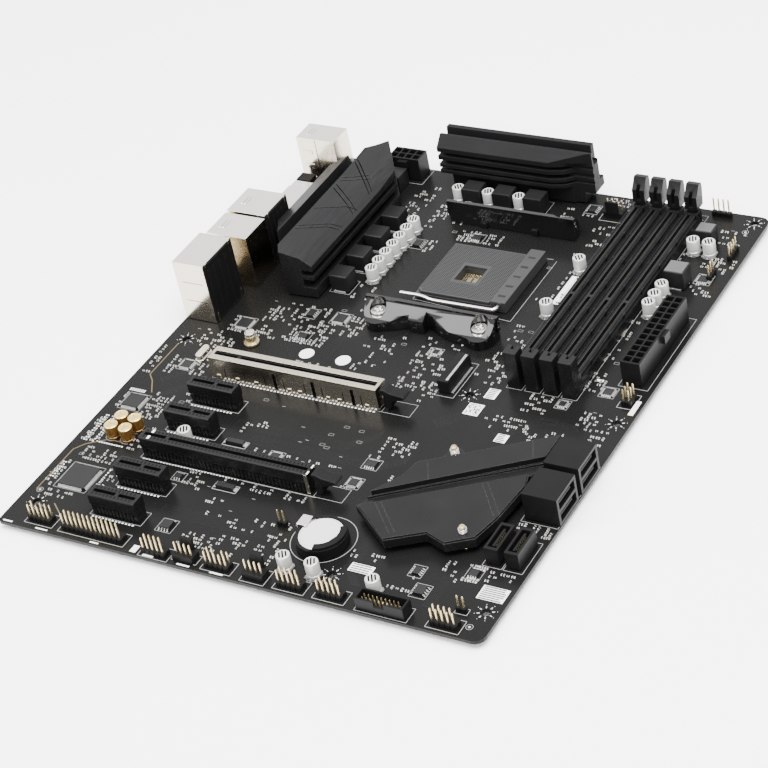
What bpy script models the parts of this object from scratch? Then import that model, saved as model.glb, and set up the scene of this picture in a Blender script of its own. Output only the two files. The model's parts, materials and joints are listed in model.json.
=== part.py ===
"""An ATX motherboard, as an assembly of its board, connectors, heatsinks, levers and latches.

Sizes are in millimetres in the board's own axes, and mm() turns them into metres in the world.
Board axes: x runs from the rear port edge to the right edge, y from the front header edge to the
top edge, and z is up from the copper face. The world origin is under the middle of the assembly.
"""

import math

import bmesh
import bpy
from mathutils import Vector

# Board
BOARD_X = 243.84
BOARD_Y = 304.8
BOARD_THICK = 1.6
PORT_OVERHANG = 1.2
PORT_X0 = -PORT_OVERHANG
GAP = 0.3
HOLE_R = 2.0
PAD_R = 4.0
PAD_HIGH = 0.1
MOUNT_HOLES = [
    (33.02, 298.45), (165.1, 298.45), (237.49, 298.45),
    (10.16, 140.97), (165.1, 140.97), (237.49, 140.97),
    (10.16, 16.51), (165.1, 16.51), (237.49, 16.51),
]

# Processor socket and cooler bracket
CPU_X = 125.0
CPU_Y = 221.5
COOLER_MID_Y = 223.45
COOLER_X = 54.0
COOLER_Y = 90.0
POST_R = 3.0
SCREW_R = 1.75
PLATE_THICK = 2.0
PLATE_GAP = GAP
BRACKET_FACE = 40.0
BRACKET_HIGH = 12.6
LEVER_X = 149.3
LEVER_Y = 197.6
LEVER_Z = 3.6
LEVER_WIRE_R = 0.9

# Memory slots
DIMM_X = 182.55
DIMM_PITCH = 9.1
DIMM_WIDE = 6.5
DIMM_Y0 = 151.3
DIMM_Y1 = 293.6
DIMM_HIGH = 8.5
DIMM_TOWER = 19.3
DIMM_KEY_Y = 214.3
LATCH_Y = 291.5
LATCH_Z = 3.0
LATCH_HIGH = 21.7

# Expansion slots
SLOT_PITCH = 20.32
FIRST_SLOT_Y = 21.4
SLOT_X = 40.6
SLOT_HIGH = 11.25
SLOT_WIDE = 7.5
X16_LONG = 89.4
X1_LONG = 25.0
X1_PLACES = (0, 1, 3, 4)
X16_SECOND = 2
X16_FIRST = 5
CLIP_PIVOT_X = 134.4
CLIP_PIVOT_Z = 2.6

# Chipset cooler
CHIPSET_PINS = [(183.6, 94.4), (211.3, 49.3)]
CHIPSET_X = (CHIPSET_PINS[0][0] + CHIPSET_PINS[1][0]) / 2
CHIPSET_Y = (CHIPSET_PINS[0][1] + CHIPSET_PINS[1][1]) / 2

# Power connectors
PIN_PITCH = 4.2
POWER_HIGH = 12.8
POWER_WIDE = 9.6

STAND = BOARD_THICK + PLATE_GAP + PLATE_THICK
MIDDLE_X = (BOARD_X - PORT_OVERHANG) / 2
MIDDLE_Y = BOARD_Y / 2
MILLIMETRE = 0.001
ROUND = 24

for old in list(bpy.data.objects):
    bpy.data.objects.remove(old, do_unlink=True)


def mm(x, y, z):
    """A point of the board, in world metres."""
    return Vector((x - MIDDLE_X, y - MIDDLE_Y, z + STAND)) * MILLIMETRE


def material(name, colour, roughness, metallic=0.0):
    made = bpy.data.materials.new(name)
    made.use_nodes = True
    shader = made.node_tree.nodes["Principled BSDF"]
    shader.inputs["Base Color"].default_value = (*colour, 1.0)
    shader.inputs["Roughness"].default_value = roughness
    shader.inputs["Metallic"].default_value = metallic
    return made


BOARD_BLACK = material("board_black", (0.022, 0.024, 0.027), 0.45)
BLACK_PLASTIC = material("black_plastic", (0.02, 0.02, 0.022), 0.42)
SOCKET_GREY = material("socket_grey", (0.09, 0.095, 0.1), 0.5)
HEATSINK_BLACK = material("heatsink_black", (0.045, 0.047, 0.05), 0.38, 0.6)
PORT_STEEL = material("port_steel", (0.72, 0.72, 0.7), 0.3, 1.0)
BRIGHT_STEEL = material("bright_steel", (0.8, 0.8, 0.79), 0.2, 1.0)
CHOKE_GREY = material("choke_grey", (0.1, 0.1, 0.105), 0.5, 0.2)
BRASS = material("brass", (0.7, 0.58, 0.36), 0.3, 1.0)


def finish(name, points_faces, look=None, origin=None):
    """Makes an object from a bmesh whose points are board millimetres."""
    shape = points_faces
    bmesh.ops.recalc_face_normals(shape, faces=shape.faces)
    place = mm(*origin) if origin else Vector((0.0, 0.0, 0.0))
    for vertex in shape.verts:
        vertex.co = mm(*vertex.co) - place
    mesh = bpy.data.meshes.new(name)
    shape.to_mesh(mesh)
    shape.free()
    made = bpy.data.objects.new(name, mesh)
    made.location = place
    bpy.context.scene.collection.objects.link(made)
    if look:
        mesh.materials.append(look)
    return made


def prism_into(shape, outline, low, high, along="z"):
    """Adds an outline pushed from low to high along one axis. The outline holds the other two."""
    place = {
        "z": lambda a, b, c: (a, b, c),
        "y": lambda a, b, c: (a, c, b),
        "x": lambda a, b, c: (c, a, b),
    }[along]
    rings = [[shape.verts.new(place(a, b, c)) for a, b in outline] for c in (low, high)]
    count = len(outline)
    shape.faces.new(rings[0])
    shape.faces.new(rings[1])
    for i in range(count):
        j = (i + 1) % count
        shape.faces.new((rings[0][i], rings[0][j], rings[1][j], rings[1][i]))


def prism(name, outline, low, high, along="z", look=None, origin=None):
    shape = bmesh.new()
    prism_into(shape, outline, low, high, along)
    return finish(name, shape, look, origin)


def loft_into(shape, sections):
    """Joins outlines of the same count, end to end, and closes both ends."""
    rings = [[shape.verts.new(point) for point in section] for section in sections]
    count = len(rings[0])
    shape.faces.new(rings[0])
    shape.faces.new(rings[-1])
    for low, high in zip(rings, rings[1:]):
        for i in range(count):
            j = (i + 1) % count
            shape.faces.new((low[i], low[j], high[j], high[i]))


def rectangle(x0, x1, y0, y1):
    return [(x0, y0), (x1, y0), (x1, y1), (x0, y1)]


def block(name, x0, x1, y0, y1, z0, z1, look=None, origin=None):
    return prism(name, rectangle(x0, x1, y0, y1), z0, z1, "z", look, origin)


def blocks(name, boxes, look=None, origin=None):
    """Several blocks that don't meet, in one mesh: a cutter or an addition."""
    shape = bmesh.new()
    for x0, x1, y0, y1, z0, z1 in boxes:
        prism_into(shape, rectangle(x0, x1, y0, y1), z0, z1)
    return finish(name, shape, look, origin)


def circle(x, y, radius, sides=ROUND):
    step = 2 * math.pi / sides
    return [(x + radius * math.cos(i * step), y + radius * math.sin(i * step)) for i in range(sides)]


def arc(x, y, radius, start, end, steps):
    """Points of an arc, with its angles in degrees."""
    angles = [math.radians(start + (end - start) * i / steps) for i in range(steps + 1)]
    return [(x + radius * math.cos(a), y + radius * math.sin(a)) for a in angles]


def rounded(x0, x1, y0, y1, radii, steps=4):
    """A rectangle with its own corner radii, from the low corner round."""
    a, b, c, d = radii
    return (
        arc(x0 + a, y0 + a, a, 180, 270, steps)
        + arc(x1 - b, y0 + b, b, 270, 360, steps)
        + arc(x1 - c, y1 - c, c, 0, 90, steps)
        + arc(x0 + d, y1 - d, d, 90, 180, steps)
    )


def cylinders(name, places, low, high, along="z", sides=ROUND, look=None):
    """Round bars given as (a, b, radius), side by side."""
    shape = bmesh.new()
    for a, b, radius in places:
        prism_into(shape, circle(a, b, radius, sides), low, high, along)
    return finish(name, shape, look)


def combine(target, other, operation):
    """A Boolean with a helper object, which stays out of the assembly."""
    modifier = target.modifiers.new(operation.lower() + "_" + other.name, "BOOLEAN")
    modifier.operation = operation
    modifier.object = other
    other.hide_render = True
    other.display_type = "WIRE"
    return target


def cut(target, *others):
    for other in others:
        combine(target, other, "DIFFERENCE")
    return target


def join(target, *others):
    for other in others:
        combine(target, other, "UNION")
    return target


def bevel(target, width, segments=1):
    modifier = target.modifiers.new("edges", "BEVEL")
    modifier.width = width * MILLIMETRE
    modifier.segments = segments
    modifier.limit_method = "ANGLE"
    return target


def cooler_corners():
    for side_x in (-0.5, 0.5):
        for side_y in (-0.5, 0.5):
            yield CPU_X + side_x * COOLER_X, COOLER_MID_Y + side_y * COOLER_Y


def build_board():
    outline = rounded(0, BOARD_X, 0, BOARD_Y, (2.0, 5.0, 5.0, 2.0))
    board = prism("pcb", outline, -BOARD_THICK, 0, look=BOARD_BLACK)
    pads = cylinders(
        "pcb_pads", [(x, y, PAD_R) for x, y in MOUNT_HOLES], -BOARD_THICK - PAD_HIGH, PAD_HIGH, sides=16
    )
    holes = [(x, y, HOLE_R) for x, y in MOUNT_HOLES]
    holes += [(x, y, POST_R + 0.4) for x, y in cooler_corners()]
    holes += [(x, y, 1.8) for x, y in CHIPSET_PINS]
    join(board, pads)
    cut(board, cylinders("pcb_holes", holes, -BOARD_THICK - 1, 1, sides=16))


def build_backplate():
    top = -BOARD_THICK - PLATE_GAP
    half_x = COOLER_X / 2 + 5.5
    half_y = COOLER_Y / 2 + 5.5
    y0, y1 = COOLER_MID_Y - half_y, COOLER_MID_Y + half_y
    outline = rounded(CPU_X - half_x, CPU_X + half_x, y0, y1, (5, 5, 5, 5))
    plate = prism("cpu_backplate", outline, top - PLATE_THICK, top, look=HEATSINK_BLACK)
    join(plate, cylinders("posts", [(x, y, POST_R) for x, y in cooler_corners()], top - 0.5, -0.1, sides=16))
    bores = [(x, y, SCREW_R + GAP) for x, y in cooler_corners()]
    cut(plate, cylinders("post_bores", bores, top - PLATE_THICK - 1, 1, sides=16))
    cut(plate, block("plate_window", CPU_X - 13, CPU_X + 13, CPU_Y - 13, CPU_Y + 13, top - 3, top + 1))


def build_socket():
    x0, x1 = CPU_X - 20.5, CPU_X + 19.5
    y0, y1 = CPU_Y - 20.5, CPU_Y + 20.5
    base = block("cpu_socket_base", x0, CPU_X + 28.3, y0, y1, GAP, 3.0, SOCKET_GREY)
    join(base, block("socket_bar", x1 + 0.9, CPU_X + 28.3, y0, y1 + 3.0, GAP, 5.9))
    window = rectangle(CPU_X - 5.7, CPU_X + 6.3, CPU_Y - 7.5, CPU_Y + 4.5)
    cut(base, prism("socket_window", window, -1, 8))
    cut(base, cylinders("lever_bore", [(LEVER_X, LEVER_Z, 1.5)], y0 - 1, y1 - 4, "y", 12))
    cover = block("cpu_socket_cover", x0 + 1.1, x1, y0 + 0.3, y1 - 0.3, 3.3, 4.7, SOCKET_GREY)
    cut(cover, prism("cover_window", window, 2, 8))
    notch = [(x0, y0), (x0 + 3.6, y0), (x0, y0 + 3.0)]
    cut(cover, prism("pin_one_notch", notch, 2, 8))


def build_lever():
    """The bent wire: a cam rod in the socket's bar, and an arm with a raised finger end."""
    route = [(LEVER_X, CPU_Y + 12, LEVER_Z), (LEVER_X, LEVER_Y + 2.2, LEVER_Z)]
    for i in range(1, 5):
        turn = math.radians(90 * i / 4)
        route.append((LEVER_X - 2.2 * (1 - math.cos(turn)), LEVER_Y + 2.2 * (1 - math.sin(turn)), LEVER_Z))
    route += [(118.0, LEVER_Y - 0.4, LEVER_Z), (114.8, LEVER_Y - 0.3, LEVER_Z + 0.1)]
    route += [(111.0, LEVER_Y + 0.5, LEVER_Z + 0.5), (108.0, LEVER_Y + 0.8, LEVER_Z + 0.6)]
    route += [(98.3, LEVER_Y + 0.6, LEVER_Z + 0.6)]
    curve = bpy.data.curves.new("cpu_socket_lever", "CURVE")
    curve.dimensions = "3D"
    curve.bevel_depth = LEVER_WIRE_R * MILLIMETRE
    curve.bevel_resolution = 2
    curve.use_fill_caps = True
    spline = curve.splines.new("POLY")
    spline.points.add(len(route) - 1)
    place = mm(LEVER_X, LEVER_Y, LEVER_Z)
    for point, here in zip(spline.points, route):
        point.co = (*(mm(*here) - place), 1.0)
    lever = bpy.data.objects.new("cpu_socket_lever", curve)
    lever.location = place
    curve.materials.append(BRIGHT_STEEL)
    bpy.context.scene.collection.objects.link(lever)


def bracket_outline(inner):
    """The lower bracket from above: a straight inner edge, two lugs and a clip tab between arches."""
    left, right = CPU_X - COOLER_X / 2, CPU_X + COOLER_X / 2
    lug_y = COOLER_MID_Y - COOLER_Y / 2
    points = [(left - 7.2, inner), (left - 7.2, lug_y)]
    points += arc(left, lug_y, 7.2, 190, 300, 7)
    points += [(left + 7.0, lug_y - 4.6), (left + 10.5, lug_y - 3.4), (left + 14.0, lug_y - 1.4)]
    points += [(left + 17.0, lug_y - 0.6), (left + 17.4, lug_y - 2.6), (left + 25.0, lug_y - 2.6)]
    points += [(left + 25.4, lug_y + 1.6), (left + 29.0, lug_y + 0.4), (left + 34.0, lug_y - 2.6)]
    points += [(left + 40.0, lug_y - 4.4), (right - 7.0, lug_y - 5.2)]
    points += arc(right, lug_y, 7.2, 235, 360, 7)
    points += [(right + 7.2, inner)]
    return points


def build_bracket(name, turned):
    """A tall wall beside the socket, with a shelf that slopes down from it to two screw lugs."""
    left, right = CPU_X - COOLER_X / 2, CPU_X + COOLER_X / 2
    lug_y = COOLER_MID_Y - COOLER_Y / 2
    inner = COOLER_MID_Y - BRACKET_FACE

    def place(points):
        return [(2 * CPU_X - x, 2 * COOLER_MID_Y - y) for x, y in points] if turned else points

    def flip(values):
        return sorted(2 * COOLER_MID_Y - y for y in values) if turned else sorted(values)

    def circles(radius):
        return [(*place([(x, lug_y)])[0], radius) for x in (left, right)]

    body = prism(name, place(bracket_outline(inner)), GAP, BRACKET_HIGH, look=BLACK_PLASTIC)
    slope = [
        (inner + 1, 0), (inner + 1, BRACKET_HIGH + 1), (inner - 2.0, BRACKET_HIGH + 1),
        (inner - 2.0, BRACKET_HIGH - 1.0), (lug_y - 4.2, 5.6), (lug_y - 8.0, 4.6), (lug_y - 8.0, 0),
    ]
    if turned:
        slope = [(2 * COOLER_MID_Y - y, z) for y, z in slope]
    combine(body, prism(name + "_slope", slope, left - 20, right + 20, "x"), "INTERSECT")
    wall = [
        (CPU_X - 35, BRACKET_HIGH), (CPU_X + 35, BRACKET_HIGH), (CPU_X + 35, 5.0), (CPU_X + 32, GAP),
        (CPU_X - 32, GAP), (CPU_X - 35, 5.0),
    ]
    join(body, prism(name + "_wall", wall, *flip((inner - 2.0, inner)), "y"))
    nubs = [(x - 1.6, x + 1.6, *flip((inner - 1.0, inner + 1.1)), GAP, 3.4) for x in (CPU_X - 15, CPU_X + 13)]
    join(body, blocks(name + "_nubs", nubs))
    cut(body, cylinders(name + "_wells", circles(4.3), 5.8, 20, sides=ROUND))
    cut(body, cylinders(name + "_shafts", circles(SCREW_R + GAP), -1, 8, sides=16))
    bevel(body, 0.45)


def build_bracket_screws():
    for number, (x, y) in enumerate(cooler_corners(), 1):
        screw = cylinders(f"bracket_screw_{number}", [(x, y, 3.7)], 6.1, 8.0, look=BRIGHT_STEEL)
        join(screw, cylinders(f"shaft_{number}", [(x, y, SCREW_R)], -1.2, 6.5, sides=16))
        cross = [
            (x - 2.1, x + 2.1, y - 0.45, y + 0.45, 7.1, 9),
            (x - 0.45, x + 0.45, y - 2.1, y + 2.1, 7.1, 9),
        ]
        for arm, bounds in enumerate(cross):
            cut(screw, block(f"recess_{number}_{arm}", *bounds))


def build_memory(number):
    x = DIMM_X + (number - 1) * DIMM_PITCH
    half = DIMM_WIDE / 2
    name = f"dimm_slot_{number}"
    slot = block(name, x - half, x + half, DIMM_Y0, DIMM_Y1, GAP, DIMM_HIGH, BLACK_PLASTIC)
    join(slot, block(name + "_tower", x - half, x + half, DIMM_Y0, DIMM_Y0 + 6.4, 4, DIMM_TOWER))
    grooves = [
        (x - 0.9, x + 0.9, DIMM_Y0 + 3.6, DIMM_KEY_Y - 0.9, 2.6, DIMM_TOWER + 1),
        (x - 0.9, x + 0.9, DIMM_KEY_Y + 0.9, 287.2, 2.6, DIMM_HIGH + 1),
    ]
    ledges = [
        (x - half - 1, x - 2.35, DIMM_Y0 + 8, 287.2, 5.6, DIMM_HIGH + 1),
        (x + 2.35, x + half + 1, DIMM_Y0 + 8, 287.2, 5.6, DIMM_HIGH + 1),
    ]
    cut(slot, blocks(name + "_grooves", grooves), blocks(name + "_ledges", ledges))
    cut(slot, block(name + "_pocket", x - 2.1, x + 2.1, 288.6, DIMM_Y1 + 1, 0.8, DIMM_HIGH + 1))


def build_latch(number):
    """The ejector at a memory slot's top end, turning on a pin across the slot."""
    x = DIMM_X + (number - 1) * DIMM_PITCH
    name = f"dimm_latch_{number}"
    head_low = LATCH_Z + 6.4
    stem = arc(LATCH_Y, LATCH_Z, 1.9, 180, 360, 8)
    stem += [(LATCH_Y + 1.9, head_low + 1), (LATCH_Y - 1.9, head_low + 1)]
    latch = prism(name, stem, x - 1.75, x + 1.75, "x", BLACK_PLASTIC, (x, LATCH_Y, LATCH_Z))
    head = [
        (289.4, head_low), (296.2, head_low), (297.0, LATCH_HIGH - 3.4), (296.6, LATCH_HIGH - 0.6),
        (293.6, LATCH_HIGH), (290.6, LATCH_HIGH - 4.3), (289.4, LATCH_HIGH - 5.2),
    ]
    join(latch, prism(name + "_head", head, x - 3.2, x + 3.2, "x"))
    cut(latch, block(name + "_groove", x - 0.9, x + 0.9, 288, 291.4, head_low + 1.5, LATCH_HIGH - 2.2))


def slot_profile(y):
    """An expansion slot's end view: a waist under its shoulders."""
    wide = SLOT_WIDE / 2
    waist = wide - 0.7
    half = [(waist, GAP), (waist, 4.6), (wide, 5.8), (wide, SLOT_HIGH - 0.5), (wide - 0.5, SLOT_HIGH)]
    return [(y + a, b) for a, b in half] + [(y - a, b) for a, b in reversed(half)]


def build_slot(name, place, length):
    y = FIRST_SLOT_Y + place * SLOT_PITCH
    slot = prism(name, slot_profile(y), SLOT_X, SLOT_X + length, "x", BLACK_PLASTIC)
    grooves = [
        (SLOT_X + 1.4, SLOT_X + 13.0, y - 0.95, y + 0.95, 3.0, SLOT_HIGH + 1),
        (SLOT_X + 14.8, SLOT_X + length - 1.4, y - 0.95, y + 0.95, 3.0, SLOT_HIGH + 1),
    ]
    return cut(slot, blocks(name + "_grooves", grooves))


def build_armour():
    """The folded steel cover of the first graphics slot."""
    y = FIRST_SLOT_Y + X16_FIRST * SLOT_PITCH
    inner = SLOT_WIDE / 2 + GAP
    outer = inner + 0.45
    x0, x1 = SLOT_X - GAP, SLOT_X + X16_LONG + GAP
    top = SLOT_HIGH + 0.75
    armour = block("pcie_x16_armour", x0 - 0.45, x1 + 0.45, y - outer, y + outer, 0.5, top, BRIGHT_STEEL)
    cut(armour, block("armour_inside", x0, x1, y - inner, y + inner, -1, SLOT_HIGH + GAP))
    cut(armour, block("armour_mouth", x0 + 1.2, x1 - 1.2, y - 1.5, y + 1.5, 5, 14))
    gaps = [(x - 0.9, x + 0.9, y - 6, y - 3, -1, 9.4) for x in (75.6, 96.6, 117.6)]
    cut(armour, blocks("armour_gaps", gaps))
    cut(armour, block("armour_low_back", x0 + 4, x1 - 4, y + 3, y + 6, -1, 3.0))


def build_clip(name, place):
    """A graphics slot's card latch: a hook, and a thumb tab that is pressed down."""
    y = FIRST_SLOT_Y + place * SLOT_PITCH
    side = [
        (CLIP_PIVOT_X - 1.6, 1.2), (CLIP_PIVOT_X + 1.6, 1.2), (CLIP_PIVOT_X + 2.8, 5.8),
        (CLIP_PIVOT_X + 9.2, 7.7), (CLIP_PIVOT_X + 10.0, 8.6), (CLIP_PIVOT_X + 9.2, 9.6),
        (CLIP_PIVOT_X + 2.4, 10.2), (CLIP_PIVOT_X - 0.4, 11.4), (CLIP_PIVOT_X - 2.6, 11.4),
        (CLIP_PIVOT_X - 2.6, 10.0), (CLIP_PIVOT_X - 1.2, 8.2), (CLIP_PIVOT_X - 1.8, 4.6),
    ]
    clip = prism(name, side, y - 3.0, y + 3.0, "y", BLACK_PLASTIC, (CLIP_PIVOT_X, y, CLIP_PIVOT_Z))
    bevel(clip, 0.3)


def build_power(name, x, y, across, along, clip):
    """A keyed power connector of square pin wells."""
    wide = POWER_WIDE if across == 2 else (across - 1) * PIN_PITCH + 5.1
    deep = POWER_WIDE if along == 2 else (along - 1) * PIN_PITCH + 5.5
    shell = block(name, x, x + wide, y, y + deep, GAP, POWER_HIGH, BLACK_PLASTIC)
    first_x = x + (wide - (across - 1) * PIN_PITCH) / 2
    first_y = y + (deep - (along - 1) * PIN_PITCH) / 2
    wells = []
    for i in range(across):
        for j in range(along):
            here_x, here_y = first_x + i * PIN_PITCH, first_y + j * PIN_PITCH
            wells.append((here_x - 1.7, here_x + 1.7, here_y - 1.7, here_y + 1.7, 2.6, POWER_HIGH + 1))
    join(shell, block(name + "_clip", *clip))
    cut(shell, blocks(name + "_wells", wells))


def build_m2():
    connector = block("m2_connector", 150.5, 156.2, 138.5, 160.5, GAP, 7.0, BLACK_PLASTIC)
    cut(connector, block("m2_mouth", 149.5, 154.4, 139.6, 159.4, 4.0, 5.5))
    cut(connector, block("m2_under", 149.5, 152.5, 140.5, 158.5, 0, 2.6))
    place_x, place_y = 44.2, 147.0
    standoff = cylinders("m2_standoff", [(place_x, place_y, 3.8)], GAP, 1.5, look=BRASS)
    join(standoff, cylinders("m2_post", [(place_x, place_y, 2.6)], 1.0, 5.0))
    cut(standoff, cylinders("m2_thread", [(place_x, place_y, 1.4)], 1.2, 6, sides=12))
    screw = cylinders("m2_screw", [(place_x, place_y, 2.5)], 5.3, 6.8, look=BRIGHT_STEEL)
    join(screw, cylinders("m2_shaft", [(place_x, place_y, 1.0)], 2.0, 5.6, sides=12))
    cut(screw, block("m2_recess", place_x - 1.5, place_x + 1.5, place_y - 0.3, place_y + 0.3, 6.1, 8))


def build_sata():
    for name, y0 in (("sata_stack_lower", 72.2), ("sata_stack_upper", 93.2)):
        y1 = y0 + 17.8
        stack = block(name, 227.4, BOARD_X, y0, y1, GAP, 14.3, BLACK_PLASTIC)
        for row, low in enumerate((1.7, 8.1)):
            mouth = block(f"{name}_mouth_{row}", 237.2, 250, y0 + 1.7, y1 - 1.7, low, low + 4.6)
            cut(stack, mouth)
            tongue = block(f"{name}_tongue_{row}", 236.5, 242.8, y0 + 3.4, y1 - 3.4, low + 1.5, low + 2.7)
            join(stack, tongue)
    for number, x in ((1, 224.2), (2, 233.6)):
        name = f"sata_upright_{number}"
        port = block(name, x, x + 6.4, 42.6, 59.2, GAP, 8.8, BLACK_PLASTIC)
        cut(port, block(name + "_mouth", x + 1.1, x + 5.3, 44.1, 57.7, 3.2, 10))
        join(port, block(name + "_tongue", x + 2.5, x + 3.7, 45.4, 56.4, 3.0, 8.2))


def build_battery():
    x, y = 151.6, 32.6
    holder = cylinders("battery_holder", [(x, y, 11.6)], GAP, 5.4, sides=32, look=BLACK_PLASTIC)
    cut(holder, cylinders("holder_cup", [(x, y, 10.3)], 1.9, 8, sides=32))
    cut(holder, block("holder_gate", x - 16, x - 6.8, y + 0.5, y + 8.5, 1.9, 8))
    lips = prism("holder_lips", arc(x, y, 11.5, -78, 34, 8) + arc(x, y, 8.6, 34, -78, 8), 4.0, 7.2)
    cut(lips, cylinders("lip_room", [(x, y, 10.3)], 3, 5.8, sides=32))
    join(holder, lips)
    cylinders("battery_cell", [(x, y, 10.0)], 2.2, 5.4, sides=32, look=BRIGHT_STEEL)
    strip = [(138.6, 0.6), (139.2, 0.6), (139.2, 5.9), (143.4, 6.0), (143.4, 6.6), (138.6, 6.5)]
    prism("battery_clip", strip, y + 1.2, y + 7.6, "y", BRIGHT_STEEL)


def usb_mouths(name, block_object, y, lows):
    """Type A receptacles: a mouth and its tongue, one above another."""
    for row, low in enumerate(lows):
        label = f"{name}_{row}"
        mouth = block("mouth_" + label, PORT_X0 - 1, PORT_X0 + 9.5, y - 6.3, y + 6.3, low, low + 5.2)
        tongue = block("tongue_" + label, PORT_X0 + 1, PORT_X0 + 10, y - 5.4, y + 5.4, low + 2.6, low + 4.2)
        cut(block_object, mouth)
        join(block_object, tongue)


def build_audio():
    y0, y1 = 156.0, 181.5
    body = block("audio_jack_block", PORT_X0 + 1.8, 18.3, y0, y1, GAP, 33.5, PORT_STEEL)
    places = [(y, z) for y in (y0 + 6.4, y1 - 6.4) for z in (6.4, 16.9, 27.4)]
    join(body, cylinders("jack_rims", [(y, z, 4.4) for y, z in places], PORT_X0, 3, "x", 20))
    cut(body, cylinders("jack_bores", [(y, z, 1.8) for y, z in places], PORT_X0 - 1, 12, "x", 12))


def build_lan():
    y0, y1, high = 188.0, 206.0, 28.8
    y = (y0 + y1) / 2
    body = block("lan_usb_stack", PORT_X0, 22.0, y0, y1, GAP, high, PORT_STEEL)
    cut(body, block("rj45_mouth", PORT_X0 - 1, PORT_X0 + 13.5, y - 5.95, y + 5.95, 17.6, 24.8))
    cut(body, block("rj45_key", PORT_X0 - 1, PORT_X0 + 11.0, y - 3.0, y + 3.0, 16.2, 18.0))
    usb_mouths("lan", body, y, (1.8, 9.0))


def build_hdmi():
    y0, y1, high = 207.3, 227.8, 29.2
    y = (y0 + y1) / 2
    body = block("hdmi_usb_stack", PORT_X0, 21.0, y0, y1, GAP, high, PORT_STEEL)
    mouth = [
        (y - 7.5, 26.6), (y - 7.5, 23.4), (y - 5.4, 21.2),
        (y + 5.4, 21.2), (y + 7.5, 23.4), (y + 7.5, 26.6),
    ]
    cut(body, prism("hdmi_mouth", mouth, PORT_X0 - 1, PORT_X0 + 8, "x"))
    join(body, block("hdmi_tongue", PORT_X0 + 1, PORT_X0 + 8.5, y - 5.8, y + 5.8, 23.6, 25.0))
    usb_mouths("hdmi", body, y, (2.0, 10.4))


def build_dvi():
    y0, y1 = 228.6, 264.4
    y = (y0 + y1) / 2
    body = block("dvi_port", PORT_X0 + 1.6, 14.0, y0, y1, GAP, 10.6, PORT_STEEL)
    rim = [(y - 12.6, 1.2), (y + 12.6, 1.2), (y + 13.6, 9.8), (y - 13.6, 9.8)]
    join(body, prism("dvi_rim", rim, PORT_X0, 2.0, "x"))
    mouth = [(y - 11.9, 1.9), (y + 11.9, 1.9), (y + 12.8, 9.1), (y - 12.8, 9.1)]
    cut(body, prism("dvi_mouth", mouth, PORT_X0 - 1, PORT_X0 + 5.5, "x"))
    join(body, block("dvi_insert", PORT_X0 + 0.8, PORT_X0 + 6, y - 10.6, y + 10.6, 2.9, 8.1))
    posts = [(side, 5.5, 2.3) for side in (y - 16.0, y + 16.0)]
    join(body, cylinders("dvi_posts", posts, PORT_X0, 2.0, "x", 6))
    cut(body, cylinders("dvi_threads", [(a, b, 1.3) for a, b, _ in posts], PORT_X0 - 1, 4.5, "x", 10))


def build_flash_button():
    y, z = 268.3, 5.2
    housing = block("flash_button_housing", 0.6, 8.6, y - 3.2, y + 3.2, GAP, 10.8, BLACK_PLASTIC)
    cut(housing, cylinders("button_well", [(y, z, 2.1)], -1, 5.6, "x", 16))
    face = PORT_X0 + 0.2
    prism("flash_button", circle(y, z, 1.7, 16), face, 4.6, "x", BLACK_PLASTIC, (face, y, z))


def build_ps2():
    y0, y1, high = 274.8, 288.8, 29.8
    y = (y0 + y1) / 2
    body = block("ps2_usb_stack", PORT_X0, 21.5, y0, y1, GAP, high, PORT_STEEL)
    cut(body, cylinders("ps2_mouth", [(y, 22.6, 5.6)], PORT_X0 - 1, PORT_X0 + 8, "x", 20))
    join(body, cylinders("ps2_core", [(y, 22.6, 4.4)], PORT_X0 + 1.2, PORT_X0 + 8.5, "x", 20))
    usb_mouths("ps2", body, y, (1.8, 8.9))


def build_rear_heatsink():
    """The finned block over the rear power stages, with a faceted cap, a long channel and cut ends."""
    flanks = [
        (38.5, 1.0), (57.8, 1.0), (57.8, 6.4), (51.5, 6.4), (51.5, 11.0), (57.8, 11.0), (57.8, 13.3),
        (51.5, 13.3), (51.5, 16.2), (57.8, 16.2),
    ]
    cap = [(57.8, 19.2), (52.0, 23.2), (38.0, 26.2)]
    raised_cap = [(57.8, 23.2), (52.0, 27.6), (38.0, 28.2)]
    channel = [(36.6, 19.0), (33.0, 19.0), (31.8, 26.2), (24.4, 23.6), (24.4, 12.0), (38.5, 9.0)]
    shape = bmesh.new()
    near, bend, far = 184, 256, 290
    low_side, high_side = flanks + cap + channel, flanks + raised_cap + channel
    sections = [(near, low_side), (bend, low_side), (far, high_side)]
    loft_into(shape, [[(x, y, z) for x, z in side] for y, side in sections])
    sink = finish("vrm_heatsink_rear", shape, HEATSINK_BLACK)
    plan = [
        (58.2, 187.3), (41.0, 186.4), (27.5, 208.0), (24.0, 213.0), (24.0, 263.0), (29.0, 268.6),
        (34.6, 273.5), (41.0, 281.0), (47.2, 286.6), (58.2, 270.6),
    ]
    keep = prism("rear_sink_plan", plan, 0, 40)
    combine(sink, keep, "INTERSECT")


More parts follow.
